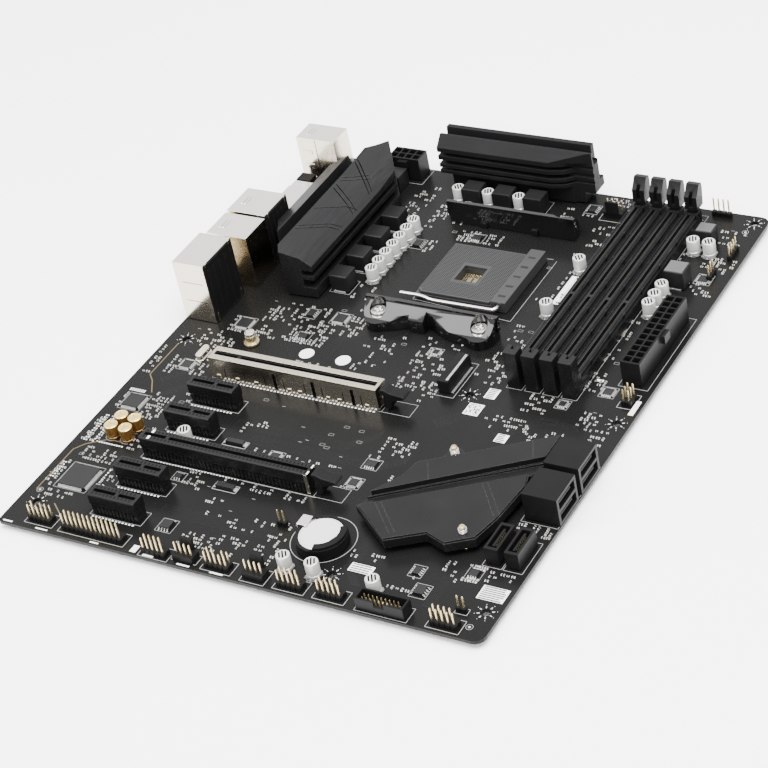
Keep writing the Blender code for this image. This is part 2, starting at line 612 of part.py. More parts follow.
def build_top_heatsink():
    """The finned block over the top power stages, with a channel along its top."""
    side = [
        (293.4, 1.0), (304.6, 1.0), (304.6, 30.0), (301.8, 30.0), (300.8, 22.5), (296.6, 22.5),
        (295.8, 30.0), (294.4, 30.0), (289.2, 25.2), (289.2, 22.6), (295.4, 22.6), (295.4, 20.6),
        (289.2, 20.6), (289.2, 18.2), (295.4, 18.2), (295.4, 15.8), (289.2, 15.8), (289.2, 13.8),
        (295.4, 13.8), (295.4, 12.4), (289.2, 12.4), (289.2, 10.4), (293.4, 10.4),
    ]
    sink = prism("vrm_heatsink_top", side, 73.0, 156.8, "x", HEATSINK_BLACK)
    cut(sink, prism("top_sink_slope", [(135, 288), (160, 288), (160, 295.8), (135, 289.1)], 0, 40))
    cut(sink, prism("top_sink_corner", [(139, 288), (160, 288), (160, 294.6), (146.5, 294.6)], 0, 24.6))
    cut(sink, block("top_sink_fin_end", 153.6, 160, 301.0, 310, 12.0, 40))
    cut(sink, block("top_sink_end_low", 151.0, 160, 288, 310, 0, 7.0))
    cut(sink, block("top_sink_start_low", 70.0, 77.0, 288, 310, 0, 10.4))


def build_chipset():
    """The low faceted chipset cooler: a dark slab, a sloped step and a lower plate."""
    foot = [
        (158.0, 51.8), (180.8, 35.0), (196.4, 44.4), (206.6, 40.8), (217.6, 47.8), (221.0, 62.2),
        (223.0, 83.0), (221.0, 90.6), (224.0, 101.0), (224.0, 116.8), (171.8, 82.3), (169.4, 72.0),
        (160.4, 57.6),
    ]
    sink = prism("chipset_heatsink", foot, 3.0, 7.2, look=HEATSINK_BLACK)
    slab = [(161.8, 59.0), (224.0, 101.6), (224.0, 116.6), (172.0, 82.1), (169.7, 71.8)]
    plate = [
        (160.0, 51.0), (180.8, 35.2), (196.4, 44.6), (206.6, 41.0), (217.4, 48.0), (220.8, 62.2),
        (222.8, 83.0), (220.6, 90.2),
    ]
    ear_x, ear_y = CHIPSET_PINS[0]
    ear = [(ear_x - 4.6, 84.0), (ear_x + 4.6, 88.0)] + arc(ear_x, ear_y, 4.0, 0, 180, 8)
    join(sink, prism("chipset_ear", ear, 3.0, 7.2))
    join(sink, prism("chipset_slab", slab, 7.0, 9.9), prism("chipset_plate", plate, 7.0, 8.3))
    groove = [
        (156.0, 51.6), (160.6, 51.6), (222.4, 92.2), (225.6, 99.0),
        (225.6, 101.4), (160.4, 57.4), (156.0, 57.0),
    ]
    cut(sink, prism("chipset_groove", groove, 6.2, 12))
    cut(sink, cylinders("chipset_pin_holes", [(x, y, 1.9) for x, y in CHIPSET_PINS], 0, 12, sides=16))
    half = 11.0
    package = rectangle(CHIPSET_X - half, CHIPSET_X + half, CHIPSET_Y - half, CHIPSET_Y + half)
    prism("chipset_die", package, GAP, 2.7, look=CHOKE_GREY)
    for number, (x, y) in enumerate(CHIPSET_PINS, 1):
        top = 7.5 if number == 1 else 8.6
        pin = cylinders(f"chipset_pin_{number}", [(x, y, 1.5)], -1.3, top + 0.5, sides=12, look=BRASS)
        join(pin, cylinders(f"pin_head_{number}", [(x, y, 2.3)], top, 11.6, sides=16))


def build_usb3_header():
    shell = block("usb3_header", 185.5, 208.3, 1.4, 8.4, GAP, 6.3, BLACK_PLASTIC)
    cut(shell, block("usb3_pocket", 186.4, 207.4, 2.2, 7.6, 1.6, 8))
    cut(shell, block("usb3_key", 194.6, 199.2, 0.4, 2.6, 3.6, 8))


def build_chokes():
    for number in range(4):
        y = 195.4 + 17.6 * number
        choke = block(f"vrm_choke_{number + 1}", 60.2, 70.0, y, y + 9.8, GAP, 9.4, CHOKE_GREY)
        bevel(choke, 0.4)
    memory = [(217.1, 239.2, 9.9, 9.4, 10.0), (217.4, 275.2, 8.6, 7.6, 8.6)]
    for number, (x, y, wide, deep, high) in enumerate(memory, 1):
        choke = block(f"memory_choke_{number}", x, x + wide, y, y + deep, GAP, high, CHOKE_GREY)
        bevel(choke, 0.4)


def main():
    build_board()
    build_backplate()
    build_socket()
    build_lever()
    build_bracket("cpu_bracket_lower", False)
    build_bracket("cpu_bracket_upper", True)
    build_bracket_screws()
    for number in range(1, 5):
        build_memory(number)
        build_latch(number)
    build_slot("pcie_x16_primary", X16_FIRST, X16_LONG)
    build_slot("pcie_x16_secondary", X16_SECOND, X16_LONG)
    build_armour()
    build_clip("pcie_latch_primary", X16_FIRST)
    build_clip("pcie_latch_secondary", X16_SECOND)
    for number, place in enumerate(X1_PLACES, 1):
        build_slot(f"pcie_x1_{number}", place, X1_LONG)
    build_m2()
    build_power("atx_power_24pin", 228.5, 167.3, 2, 12, (237.8, 239.9, 190.2, 195.8, 7.6, 11.8))
    build_power("cpu_power_8pin", 40.0, 293.2, 4, 2, (46.2, 51.4, 291.4, 293.6, 7.6, 11.8))
    build_sata()
    build_battery()
    build_audio()
    build_lan()
    build_hdmi()
    build_dvi()
    build_flash_button()
    build_ps2()
    build_rear_heatsink()
    build_top_heatsink()
    build_chipset()
    build_usb3_header()
    build_chokes()


main()
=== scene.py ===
"""The looks of a desktop motherboard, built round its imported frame.

Every place is in board millimetres: x from the rear port edge to the right edge, y from the front
header edge to the top edge, z up from the component face. at() turns them into the frame's metres.
"""

import json
import math
import random

import bmesh
import bpy
from mathutils import Matrix, Vector


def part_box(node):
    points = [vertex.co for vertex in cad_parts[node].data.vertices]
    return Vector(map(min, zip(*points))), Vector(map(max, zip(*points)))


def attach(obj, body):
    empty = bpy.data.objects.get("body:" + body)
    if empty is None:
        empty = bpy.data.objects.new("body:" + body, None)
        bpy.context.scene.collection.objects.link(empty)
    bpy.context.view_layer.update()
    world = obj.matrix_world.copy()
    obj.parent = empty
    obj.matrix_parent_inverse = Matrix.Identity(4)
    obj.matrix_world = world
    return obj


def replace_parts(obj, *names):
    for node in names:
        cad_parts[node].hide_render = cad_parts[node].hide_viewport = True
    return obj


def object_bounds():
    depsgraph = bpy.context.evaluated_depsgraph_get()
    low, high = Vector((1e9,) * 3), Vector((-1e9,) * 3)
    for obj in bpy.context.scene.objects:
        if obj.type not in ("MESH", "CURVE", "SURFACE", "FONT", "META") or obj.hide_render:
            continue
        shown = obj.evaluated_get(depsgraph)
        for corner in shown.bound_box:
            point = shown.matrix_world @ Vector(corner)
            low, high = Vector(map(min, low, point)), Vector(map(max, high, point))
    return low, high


MM = 0.001
PAD_HIGH = 0.1
BOARD_THICK = 1.6
UNDER = -BOARD_THICK

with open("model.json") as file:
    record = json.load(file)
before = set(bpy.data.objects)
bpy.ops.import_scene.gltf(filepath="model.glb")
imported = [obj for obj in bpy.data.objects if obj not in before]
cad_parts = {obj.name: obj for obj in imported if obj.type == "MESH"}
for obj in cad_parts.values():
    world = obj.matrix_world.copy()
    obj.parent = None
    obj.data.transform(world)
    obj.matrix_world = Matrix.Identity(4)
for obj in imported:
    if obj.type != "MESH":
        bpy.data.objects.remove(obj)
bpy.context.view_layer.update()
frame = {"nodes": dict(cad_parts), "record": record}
board_low, board_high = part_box("pcb")
ORIGIN = Vector((board_low.x, board_low.y, board_high.z - PAD_HIGH * MM))
BODY_OF = {node: body for body, nodes in frame["record"]["behaviour"]["bodies"].items() for node in nodes}


def at(x, y, z=0.0):
    return ORIGIN + Vector((x, y, z)) * MM


def show(thing):
    bpy.context.scene.collection.objects.link(thing)


def place_of(node):
    """A node's box in board millimetres: x0, x1, y0, y1, z0, z1."""
    low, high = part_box(node)
    a, b = (low - ORIGIN) / MM, (high - ORIGIN) / MM
    return a.x, b.x, a.y, b.y, a.z, b.z


# ---------------------------------------------------------------- camera

LENS_MM = 109.11
AZIMUTH, ELEVATION, ROLL = 36.855, 36.236, -12.664
TARGET = (122.635, 137.023, 0.0)
DISTANCE_MM = 1059.82


def add_camera():
    a, e, r = (math.radians(v) for v in (AZIMUTH, ELEVATION, ROLL))
    back = Vector((math.sin(a) * math.cos(e), -math.cos(a) * math.cos(e), math.sin(e)))
    level = Vector((0, 0, 1)).cross(back).normalized()
    upright = back.cross(level)
    right = math.cos(r) * level + math.sin(r) * upright
    up = math.cos(r) * upright - math.sin(r) * level
    data = bpy.data.cameras.new("camera")
    data.lens = LENS_MM
    data.sensor_width = 36.0
    data.clip_end = 20.0
    camera = bpy.data.objects.new("camera", data)
    turn = Matrix((right, up, back)).transposed().to_4x4()
    camera.matrix_world = Matrix.Translation(at(*TARGET) + back * DISTANCE_MM * MM) @ turn
    show(camera)
    bpy.context.scene.camera = camera


# ---------------------------------------------------------------- materials


def wire(nodes, links, kind, inputs, **settings):
    """Adds a node, sets its properties and joins or sets its inputs."""
    node = nodes.new(kind)
    for key, value in settings.items():
        setattr(node, key, value)
    for key, value in inputs.items():
        if isinstance(value, bpy.types.NodeSocket):
            links.new(value, node.inputs[key])
        else:
            node.inputs[key].default_value = value
    return node


# The bump and the roughness spread of every bare metal: larger ones speckle.
METAL_GRAIN = {"bump": 0.03, "depth": 0.000004, "vary": 0.015}


def finish_of(
    name,
    colour,
    roughness,
    metallic=0.0,
    tint=None,
    spread=0.25,
    patch=60.0,
    grain=2500.0,
    bump=0.15,
    depth=0.00004,
    stretch=(1.0, 1.0, 1.0),
    edge_sheen=0.0,
    edge_sheen_colour=(0.5, 0.5, 0.5),
    rounding=0.00012,
    coat=0.0,
    shine=0.5,
    vary=0.07,
):
    """A procedural finish: patchy colour, grainy roughness and bump, edges rounded in the shading, and a
    painted highlight that colours the edges lighter.
    """
    made = bpy.data.materials.new(name)
    made.use_nodes = True
    nodes, links = made.node_tree.nodes, made.node_tree.links
    shader = nodes["Principled BSDF"]
    shader.inputs["Metallic"].default_value = metallic
    shader.inputs["Coat Weight"].default_value = coat
    shader.inputs["Specular IOR Level"].default_value = shine
    space = wire(nodes, links, "ShaderNodeTexCoord", {}).outputs["Object"]
    mapped = wire(nodes, links, "ShaderNodeMapping", {"Vector": space, "Scale": stretch}).outputs[0]
    broad = wire(nodes, links, "ShaderNodeTexNoise", {"Vector": space, "Scale": patch, "Detail": 4.0})
    fine = wire(nodes, links, "ShaderNodeTexNoise", {"Vector": mapped, "Scale": grain, "Detail": 3.0})
    second = tint or tuple(min(1.0, c * (1 + spread) + 0.002) for c in colour)
    blend = wire(nodes, links, "ShaderNodeMix", {"Factor": broad.outputs["Fac"]}, data_type="RGBA")
    # The colour sockets of a Mix node come after its number and vector sockets.
    blend.inputs[6].default_value = (*colour, 1.0)
    blend.inputs[7].default_value = (*second, 1.0)
    colour_out = blend.outputs[2]
    edge = wire(nodes, links, "ShaderNodeBevel", {"Radius": rounding}, samples=4)
    # Painted highlight: near an edge the base colour is mixed towards a lighter colour, as where light
    # catches the edge.
    if edge_sheen:
        flat = wire(nodes, links, "ShaderNodeNewGeometry", {}).outputs["Normal"]
        along = wire(
            nodes, links, "ShaderNodeVectorMath", {0: edge.outputs[0], 1: flat}, operation="DOT_PRODUCT"
        )
        sheen_mask = wire(
            nodes,
            links,
            "ShaderNodeMapRange",
            {"Value": along.outputs["Value"], "From Min": 0.995, "From Max": 0.85, "To Max": edge_sheen},
        )
        edged = wire(nodes, links, "ShaderNodeMix", {"Factor": sheen_mask.outputs[0]}, data_type="RGBA")
        links.new(colour_out, edged.inputs[6])
        edged.inputs[7].default_value = (*edge_sheen_colour, 1.0)
        colour_out = edged.outputs[2]
    links.new(colour_out, shader.inputs["Base Color"])
    rough = wire(
        nodes,
        links,
        "ShaderNodeMapRange",
        {
            "Value": fine.outputs["Fac"],
            "From Min": 0.3,
            "From Max": 0.7,
            "To Min": max(0.03, roughness - vary),
            "To Max": roughness + vary,
        },
    )
    links.new(rough.outputs[0], shader.inputs["Roughness"])
    relief = wire(
        nodes,
        links,
        "ShaderNodeBump",
        {"Height": fine.outputs["Fac"], "Normal": edge.outputs[0], "Strength": bump, "Distance": depth},
    )
    links.new(relief.outputs[0], shader.inputs["Normal"])
    return made


def board_finish():
    """Satin black solder mask with the copper pattern just showing through it."""
    made = finish_of(
        "board_black", (0.0022, 0.0022, 0.0021), 0.27, spread=0.55, patch=22.0, grain=1800.0, bump=0.03,
    )
    nodes, links = made.node_tree.nodes, made.node_tree.links
    shader = nodes["Principled BSDF"]
    shader.inputs["Specular IOR Level"].default_value = 0.105
    space = nodes["Texture Coordinate"].outputs["Object"]
    turned = wire(
        nodes, links, "ShaderNodeMapping", {"Vector": space, "Rotation": (0.0, 0.0, math.radians(37))}
    ).outputs[0]
    weave = wire(
        nodes,
        links,
        "ShaderNodeTexBrick",
        {"Vector": turned, "Scale": 260.0, "Mortar Size": 0.03, "Mortar Smooth": 0.3, "Brick Width": 3.2},
    )
    weave.inputs["Color1"].default_value = (1, 1, 1, 1)
    weave.inputs["Color2"].default_value = (0.75, 0.75, 0.75, 1)
    weave.inputs["Mortar"].default_value = (0.2, 0.2, 0.2, 1)
    grain_bump = nodes["Bump"]
    second = wire(
        nodes,
        links,
        "ShaderNodeBump",
        {
            "Height": weave.outputs["Fac"],
            "Normal": grain_bump.outputs[0],
            "Strength": 0.03,
            "Distance": 0.00002,
        },
    )
    links.new(second.outputs[0], shader.inputs["Normal"])
    return made


def port_finish():
    """Nickel that is bright on top, with painted shade: its upright faces are painted a darker, warmer
    colour.
    """
    made = finish_of(
        "nickel_shell", (0.94, 0.91, 0.86), 0.16, 1.0, spread=0.04, patch=40.0, grain=1400.0,
        **METAL_GRAIN, stretch=(0.2, 1.0, 0.2),
    )
    nodes, links = made.node_tree.nodes, made.node_tree.links
    colour = nodes["Principled BSDF"].inputs["Base Color"]
    normal = wire(nodes, links, "ShaderNodeNewGeometry", {}).outputs["Normal"]
    rise = wire(nodes, links, "ShaderNodeSeparateXYZ", {"Vector": normal}).outputs["Z"]
    top_share = wire(nodes, links, "ShaderNodeMapRange", {"Value": rise, "From Min": 0.0, "From Max": 0.9})
    painted_side_shade = wire(nodes, links, "ShaderNodeMix", {"Factor": top_share.outputs[0]}, data_type="RGBA")
    # Painted shade: the darker, warmer colour of the upright faces; the top keeps the bright nickel.
    painted_side_shade.inputs[6].default_value = (0.60, 0.54, 0.44, 1.0)
    links.new(colour.links[0].from_socket, painted_side_shade.inputs[7])
    links.new(painted_side_shade.outputs[2], colour)
    return made


# Where a look sets a lighter edge colour, that is a painted highlight along its edges.
LOOKS = {
    "board": board_finish(),
    "trace": finish_of("trace_under_mask", (0.0042, 0.0042, 0.0041), 0.33, patch=40.0, shine=0.17),
    "slot": finish_of(
        "slot_plastic", (0.0022, 0.0022, 0.0024), 0.3, edge_sheen=0.7, edge_sheen_colour=(0.035, 0.035, 0.036),
        shine=0.17,
    ),
    "latch": finish_of(
        "latch_plastic", (0.003, 0.003, 0.0032), 0.28, edge_sheen=0.6, edge_sheen_colour=(0.035, 0.035, 0.036),
        shine=0.08,
    ),
    "plastic": finish_of(
        "connector_plastic", (0.003, 0.003, 0.003), 0.36, edge_sheen=0.5, edge_sheen_colour=(0.035, 0.035, 0.035),
        shine=0.06,
    ),
    "gloss": finish_of(
        "bracket_gloss", (0.0012, 0.0012, 0.0013), 0.1, bump=0.02, coat=0.25, spread=0.3, shine=0.35,
        edge_sheen=0.3, edge_sheen_colour=(0.03, 0.03, 0.03),
    ),
    "socket": finish_of(
        "socket_grey", (0.0145, 0.0145, 0.015), 0.42, spread=0.3, edge_sheen=0.5, edge_sheen_colour=(0.07, 0.07, 0.07),
        shine=0.3,
    ),
    # Painted highlight: a lighter grey for thin lines along the memory slots' rail edges.
    "edge": finish_of("edge_highlight_grey", (0.022, 0.022, 0.023), 0.3, spread=0.2, bump=0.03, shine=0.2),
    # Painted shade: the near-black put into holes, cells, slits and seams, where shade falls; the bars on the
    # capacitor tops take it as their dark colour.
    "hole": finish_of("deep_shadow", (0.0006, 0.0006, 0.0006), 0.7, bump=0.02, shine=0.05),
    "sink": finish_of(
        "anodised_black", (0.0034, 0.0034, 0.0037), 0.32, 0.1, spread=0.35, patch=30.0, grain=900.0,
        bump=0.12, stretch=(1.0, 0.08, 1.0), edge_sheen=0.6, edge_sheen_colour=(0.06, 0.06, 0.062), shine=0.2,
    ),
    "sink_top": finish_of(
        "anodised_matt", (0.0040, 0.0040, 0.0043), 0.42, spread=0.35, patch=30.0, grain=900.0, bump=0.12,
        stretch=(0.08, 1.0, 1.0), edge_sheen=0.6, edge_sheen_colour=(0.06, 0.06, 0.062), shine=0.06,
    ),
    "sink_plate": finish_of(
        "anodised_brushed", (0.0028, 0.0028, 0.0030), 0.32, 0.05, spread=0.3, patch=30.0, grain=1600.0,
        bump=0.14, stretch=(0.05, 0.05, 1.0), edge_sheen=0.8, edge_sheen_colour=(0.10, 0.10, 0.104), shine=0.14,
    ),
    "port": port_finish(),
    "steel": finish_of("bright_steel", (0.84, 0.82, 0.78), 0.16, 0.95, spread=0.05, **METAL_GRAIN),
    "armour": finish_of(
        "armour_steel", (0.62, 0.56, 0.46), 0.2, 1.0, spread=0.06, grain=2200.0, **METAL_GRAIN,
        stretch=(0.06, 1.0, 1.0),
    ),
    "tin": finish_of(
        "solder", (0.62, 0.62, 0.60), 0.3, 0.85, spread=0.1, patch=400.0, bump=0.2, depth=0.00006,
    ),
    "gold": finish_of("pin_gold", (0.55, 0.45, 0.26), 0.24, 0.9, spread=0.08, patch=300.0, bump=0.04),
    "contact": finish_of(
        "slot_contact", (0.10, 0.085, 0.055), 0.3, 0.9, spread=0.1, patch=300.0, bump=0.04,
    ),
    "copper": finish_of("audio_line", (0.075, 0.052, 0.022), 0.5, 0.2, spread=0.2, patch=200.0, bump=0.1),
    "can": finish_of("capacitor_can", (0.44, 0.44, 0.42), 0.34, 0.4, spread=0.04, **METAL_GRAIN),
    "skirt": finish_of("capacitor_base", (0.09, 0.09, 0.085), 0.4, spread=0.1, bump=0.1),
    "amber": finish_of(
        "audio_sleeve", (0.11, 0.055, 0.013), 0.2, 0.7, tint=(0.17, 0.09, 0.025), patch=300.0, bump=0.05,
    ),
    "pale_gold": finish_of(
        "audio_can_top", (0.72, 0.55, 0.20), 0.26, 0.75, spread=0.05, patch=200.0, bump=0.04,
    ),
    "ink": finish_of("printed_bar", (0.009, 0.009, 0.01), 0.5, spread=0.2, bump=0.05, shine=0.2),
    "white": finish_of("silkscreen", (0.17, 0.17, 0.165), 0.6, spread=0.12, patch=300.0, bump=0.2),
    "label": finish_of("paper_label", (0.62, 0.62, 0.6), 0.55, spread=0.05, patch=150.0, bump=0.1),
    "chip": finish_of(
        "chip_epoxy", (0.0042, 0.0042, 0.0044), 0.42, spread=0.4, patch=200.0, bump=0.25, shine=0.2,
    ),
    "choke": finish_of(
        "choke_side", (0.0036, 0.0036, 0.0038), 0.4, spread=0.4, bump=0.2, edge_sheen=0.8,
        edge_sheen_colour=(0.09, 0.09, 0.09), shine=0.2,
    ),
    "choke_top": finish_of(
        "choke_grey", (0.003, 0.003, 0.0032), 0.36, spread=0.15, patch=150.0, bump=0.15, shine=0.12,
    ),
    "choke_lid": finish_of(
        "choke_light_grey", (0.05, 0.05, 0.05), 0.36, 0.2, spread=0.15, patch=150.0, bump=0.15,
    ),
    "ceramic": finish_of("ceramic_tan", (0.075, 0.058, 0.04), 0.45, spread=0.3, patch=500.0),
    "resistor": finish_of(
        "resistor_black", (0.006, 0.006, 0.0065), 0.35, spread=0.3, patch=500.0, shine=0.3,
    ),
    "blue": finish_of("tongue_blue", (0.01, 0.05, 0.25), 0.4, spread=0.15),
    "lamp": finish_of("lamp_lens", (0.4, 0.43, 0.38), 0.2, spread=0.06, bump=0.02),
    "backplate": finish_of(
        "backplate_black", (0.006, 0.006, 0.0065), 0.38, 0.3, spread=0.3, edge_sheen=0.4,
        edge_sheen_colour=(0.05, 0.05, 0.05),
    ),
    "battery": finish_of("battery_steel", (0.76, 0.76, 0.75), 0.24, 0.6, spread=0.04, **METAL_GRAIN),
}

# ---------------------------------------------------------------- mesh building


def circle(x, y, radius, sides=24, start=0.0):
    step = 2 * math.pi / sides
    turns = [start + i * step for i in range(sides)]
    return [(x + radius * math.cos(t), y + radius * math.sin(t)) for t in turns]


def arc(x, y, radius, start, end, steps):
    turns = [math.radians(start + (end - start) * i / steps) for i in range(steps + 1)]
    return [(x + radius * math.cos(t), y + radius * math.sin(t)) for t in turns]


def rectangle(x0, x1, y0, y1):
    return [(x0, y0), (x1, y0), (x1, y1), (x0, y1)]


class Build:
    """Collects solids in board millimetres, each with its own look, into one piece."""

    def __init__(self):
        self.points = []
        self.faces = []
        self.slots = []
        self.looks = []

    def look(self, name):
        if name not in self.looks:
            self.looks.append(name)
        return self.looks.index(name)

    def rings(self, rings, look, closed=True):
        """Skins rings of the same count, end to end, and caps both ends."""
        slot = self.look(look)
        first = len(self.points)
        count = len(rings[0])
        for ring in rings:
            self.points.extend(ring)
        for r in range(len(rings) - 1):
            for i in range(count):
                j = (i + 1) % count
                a, b = first + r * count, first + (r + 1) * count
                self.faces.append((a + i, a + j, b + j, b + i))
                self.slots.append(slot)
        if closed:
            last = first + (len(rings) - 1) * count
            self.faces.append(tuple(range(first + count - 1, first - 1, -1)))
            self.faces.append(tuple(range(last, last + count)))
            self.slots += [slot, slot]

    def prism(self, outline, low, high, look, along="z", inset=0.0):
        """Pushes an outline along an axis. An inset narrows the top, as a small chamfer does."""
        place = {
            "z": lambda a, b, c: (a, b, c),
            "y": lambda a, b, c: (a, c, b),
            "x": lambda a, b, c: (c, a, b),
        }[along]
        rings = [[place(a, b, low) for a, b in outline], [place(a, b, high - inset) for a, b in outline]]
        if inset:
            mid_a = sum(a for a, _ in outline) / len(outline)
            mid_b = sum(b for _, b in outline) / len(outline)
            shrunk = []
            for a, b in outline:
                far = math.hypot(a - mid_a, b - mid_b)
                keep = max(0.0, 1 - inset * 1.3 / far)
                shrunk.append(place(mid_a + (a - mid_a) * keep, mid_b + (b - mid_b) * keep, high))
            rings.append(shrunk)
        self.rings(rings, look)

    def box(self, x0, x1, y0, y1, z0, z1, look, inset=0.0):
        """A box between limits, each pair in either order."""
        (x0, x1), (y0, y1) = sorted((x0, x1)), sorted((y0, y1))
        self.prism(rectangle(x0, x1, y0, y1), z0, z1, look, inset=inset)

    def turned(self, x, y, wide, deep, z0, z1, look, angle=0.0, inset=0.0):
        """A box by its middle and size, turned about z, in degrees."""
        c, s = math.cos(math.radians(angle)), math.sin(math.radians(angle))
        corners = [(-wide / 2, -deep / 2), (wide / 2, -deep / 2), (wide / 2, deep / 2), (-wide / 2, deep / 2)]
        self.prism([(x + a * c - b * s, y + a * s + b * c) for a, b in corners], z0, z1, look, inset=inset)

    def lathe(self, x, y, profile, look, sides=24):
        """Turns (radius, z) points about an upright axis."""
        self.rings([[(a, b, z) for a, b in circle(x, y, max(r, 0.01), sides)] for r, z in profile], look)

    def line(self, route, width, z0, z1, look):
        """A flat track along a route of (x, y) points, with mitred corners."""
        count = len(route)
        sides = [[], []]
        for i in range(count):
            before = Vector(route[max(i - 1, 0)])
            here = Vector(route[i])
            after = Vector(route[min(i + 1, count - 1)])
            way_in = (here - before).normalized() if i else (after - here).normalized()
            way_out = (after - here).normalized() if i < count - 1 else way_in
            across = Vector((-(way_in + way_out).y, (way_in + way_out).x))
            across = across.normalized() if across.length > 1e-6 else Vector((-way_in.y, way_in.x))
            reach = width / 2 / max(0.5, across.dot(Vector((-way_in.y, way_in.x))))
            sides[0].append(here + across * reach)
            sides[1].append(here - across * reach)
        rings = [
            [(a.x, a.y, z0), (b.x, b.y, z0), (b.x, b.y, z1), (a.x, a.y, z1)]
            for a, b in zip(sides[0], sides[1])
        ]
        self.rings(rings, look)

    def ring(self, x, y, inner, outer, z0, z1, look, sides=32, start=0.0, sweep=360.0):
        """A flat ring, or a stretch of one."""
        whole = sweep >= 360
        angles = [math.radians(start + sweep * i / sides) for i in range(sides + (0 if whole else 1))]
        rings = []
        for t in angles + (angles[:1] if whole else []):
            c, s = math.cos(t), math.sin(t)
            rings.append([
                (x + inner * c, y + inner * s, z0), (x + outer * c, y + outer * s, z0),
                (x + outer * c, y + outer * s, z1), (x + inner * c, y + inner * s, z1),
            ])
        self.rings(rings, look, closed=not whole)

    def tube(self, route, radius, look, sides=10):
        """A round wire through (x, y, z) points."""
        path = [Vector(p) for p in route]
        rings = []
        side = Vector((0, 0, 1))
        for i, here in enumerate(path):
            way = (path[min(i + 1, len(path) - 1)] - path[max(i - 1, 0)]).normalized()
            across = way.cross(side)
            across = across.normalized() if across.length > 1e-4 else Vector((1, 0, 0))
            up = across.cross(way)
            rings.append([
                tuple(here + radius * (math.cos(t) * across + math.sin(t) * up))
                for t in (2 * math.pi * k / sides for k in range(sides))
            ])
        self.rings(rings, look)

    def finish(self, name, body="board", bevel=0.0, segments=2, slot=None):
        mesh = bpy.data.meshes.new(name)
        mesh.from_pydata([at(*p) for p in self.points], [], self.faces)
        for look in self.looks:
            mesh.materials.append(LOOKS[look])
        mesh.polygons.foreach_set("material_index", self.slots)
        shape = bmesh.new()
        shape.from_mesh(mesh)
        bmesh.ops.remove_doubles(shape, verts=shape.verts, dist=1e-8)
        bmesh.ops.recalc_face_normals(shape, faces=shape.faces)
        shape.to_mesh(mesh)
        shape.free()
        piece = bpy.data.objects.new(name, mesh)
        show(piece)
        mesh.shade_smooth()
        mesh.set_sharp_from_angle(angle=SHARP_ANGLE)
        if bevel:
            add_bevel(piece, bevel, segments)
        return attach(piece, body)


def add_bevel(piece, width, segments=2):
    bevel = piece.modifiers.new("edges", "BEVEL")
    bevel.width = width * MM
    bevel.segments = segments
    bevel.limit_method = "ANGLE"
    bevel.angle_limit = BEVEL_ANGLE
    bevel.harden_normals = True
    bevel.use_clamp_overlap = True


# Faces that meet at more than this keep a hard line. The wire's own is wider, so its facets blend.
SHARP_ANGLE = math.radians(32)
WIRE_SHARP_ANGLE = math.radians(60)
BEVEL_ANGLE = math.radians(30)
WEDGE_FACES = [(0, 1, 2, 3), (7, 6, 5, 4), (0, 4, 5, 1), (1, 5, 6, 2), (2, 6, 7, 3), (3, 7, 4, 0)]


def refine(node, look, bevel, cuts=()):
    """Copies a frame node into a piece that replaces it, with rounded edges and its fine grooves cut."""
    source = frame["nodes"][node]
    mesh = source.data.copy()
    mesh.name = node + "_fine"
    shape = bmesh.new()
    shape.from_mesh(mesh)
    bmesh.ops.remove_doubles(shape, verts=shape.verts, dist=1e-6)
    bmesh.ops.dissolve_limit(shape, angle_limit=math.radians(1.0), verts=shape.verts, edges=shape.edges)
    bmesh.ops.recalc_face_normals(shape, faces=shape.faces)
    shape.to_mesh(mesh)
    shape.free()
    mesh.materials.clear()
    mesh.materials.append(LOOKS[look])
    mesh.polygons.foreach_set("material_index", [0] * len(mesh.polygons))
    if "custom_normal" in mesh.attributes:
        mesh.attributes.remove(mesh.attributes["custom_normal"])
    piece = bpy.data.objects.new(node + "_fine", mesh)
    show(piece)
    for cut in cuts:
        cutter_mesh = bpy.data.meshes.new("cutter")
        cutter_mesh.from_pydata([at(*p) for p in cut], [], WEDGE_FACES)
        cutter = bpy.data.objects.new("cutter", cutter_mesh)
        show(cutter)
        carve = bmesh.new()
        carve.from_mesh(cutter_mesh)
        bmesh.ops.recalc_face_normals(carve, faces=carve.faces)
        carve.to_mesh(cutter_mesh)
        carve.free()
        modifier = piece.modifiers.new("groove", "BOOLEAN")
        modifier.operation = "DIFFERENCE"
        modifier.object = cutter
        graph = bpy.context.evaluated_depsgraph_get()
        carved = bpy.data.meshes.new_from_object(piece.evaluated_get(graph))
        piece.modifiers.clear()
        piece.data = carved
        bpy.data.objects.remove(cutter)
    piece.data.shade_smooth()
    piece.data.set_sharp_from_angle(angle=SHARP_ANGLE if bevel else WIRE_SHARP_ANGLE)
    if bevel:
        add_bevel(piece, bevel)
    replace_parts(piece, node)
    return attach(piece, BODY_OF[node])


# ---------------------------------------------------------------- small parts


def chip_resistor(build, x, y, long, wide, upright, kind):
    """A two-ended part: its body between two soldered ends."""
    high = wide * 0.55
    end = long * 0.26
    body = "resistor" if kind < 0.45 else "ceramic"
    a, b = (long, wide) if not upright else (wide, long)
    build.box(x - a * 0.5 + (0 if upright else end), x + a * 0.5 - (0 if upright else end),
              y - b * 0.5 + (end if upright else 0), y + b * 0.5 - (end if upright else 0), 0.03, high, body)
    for side in (-1, 1):
        middle = side * (long - end) / 2
        cx, cy = (x, y + middle) if upright else (x + middle, y)
        half_a, half_b = (wide / 2, end / 2) if upright else (end / 2, wide / 2)
        build.box(cx - half_a, cx + half_a, cy - half_b, cy + half_b, 0.02, high + 0.02, "tin")
        pad_a, pad_b = half_a * 1.25, half_b * 1.5
        build.box(cx - pad_a, cx + pad_a, cy - pad_b, cy + pad_b, 0.0, 0.07, "tin")


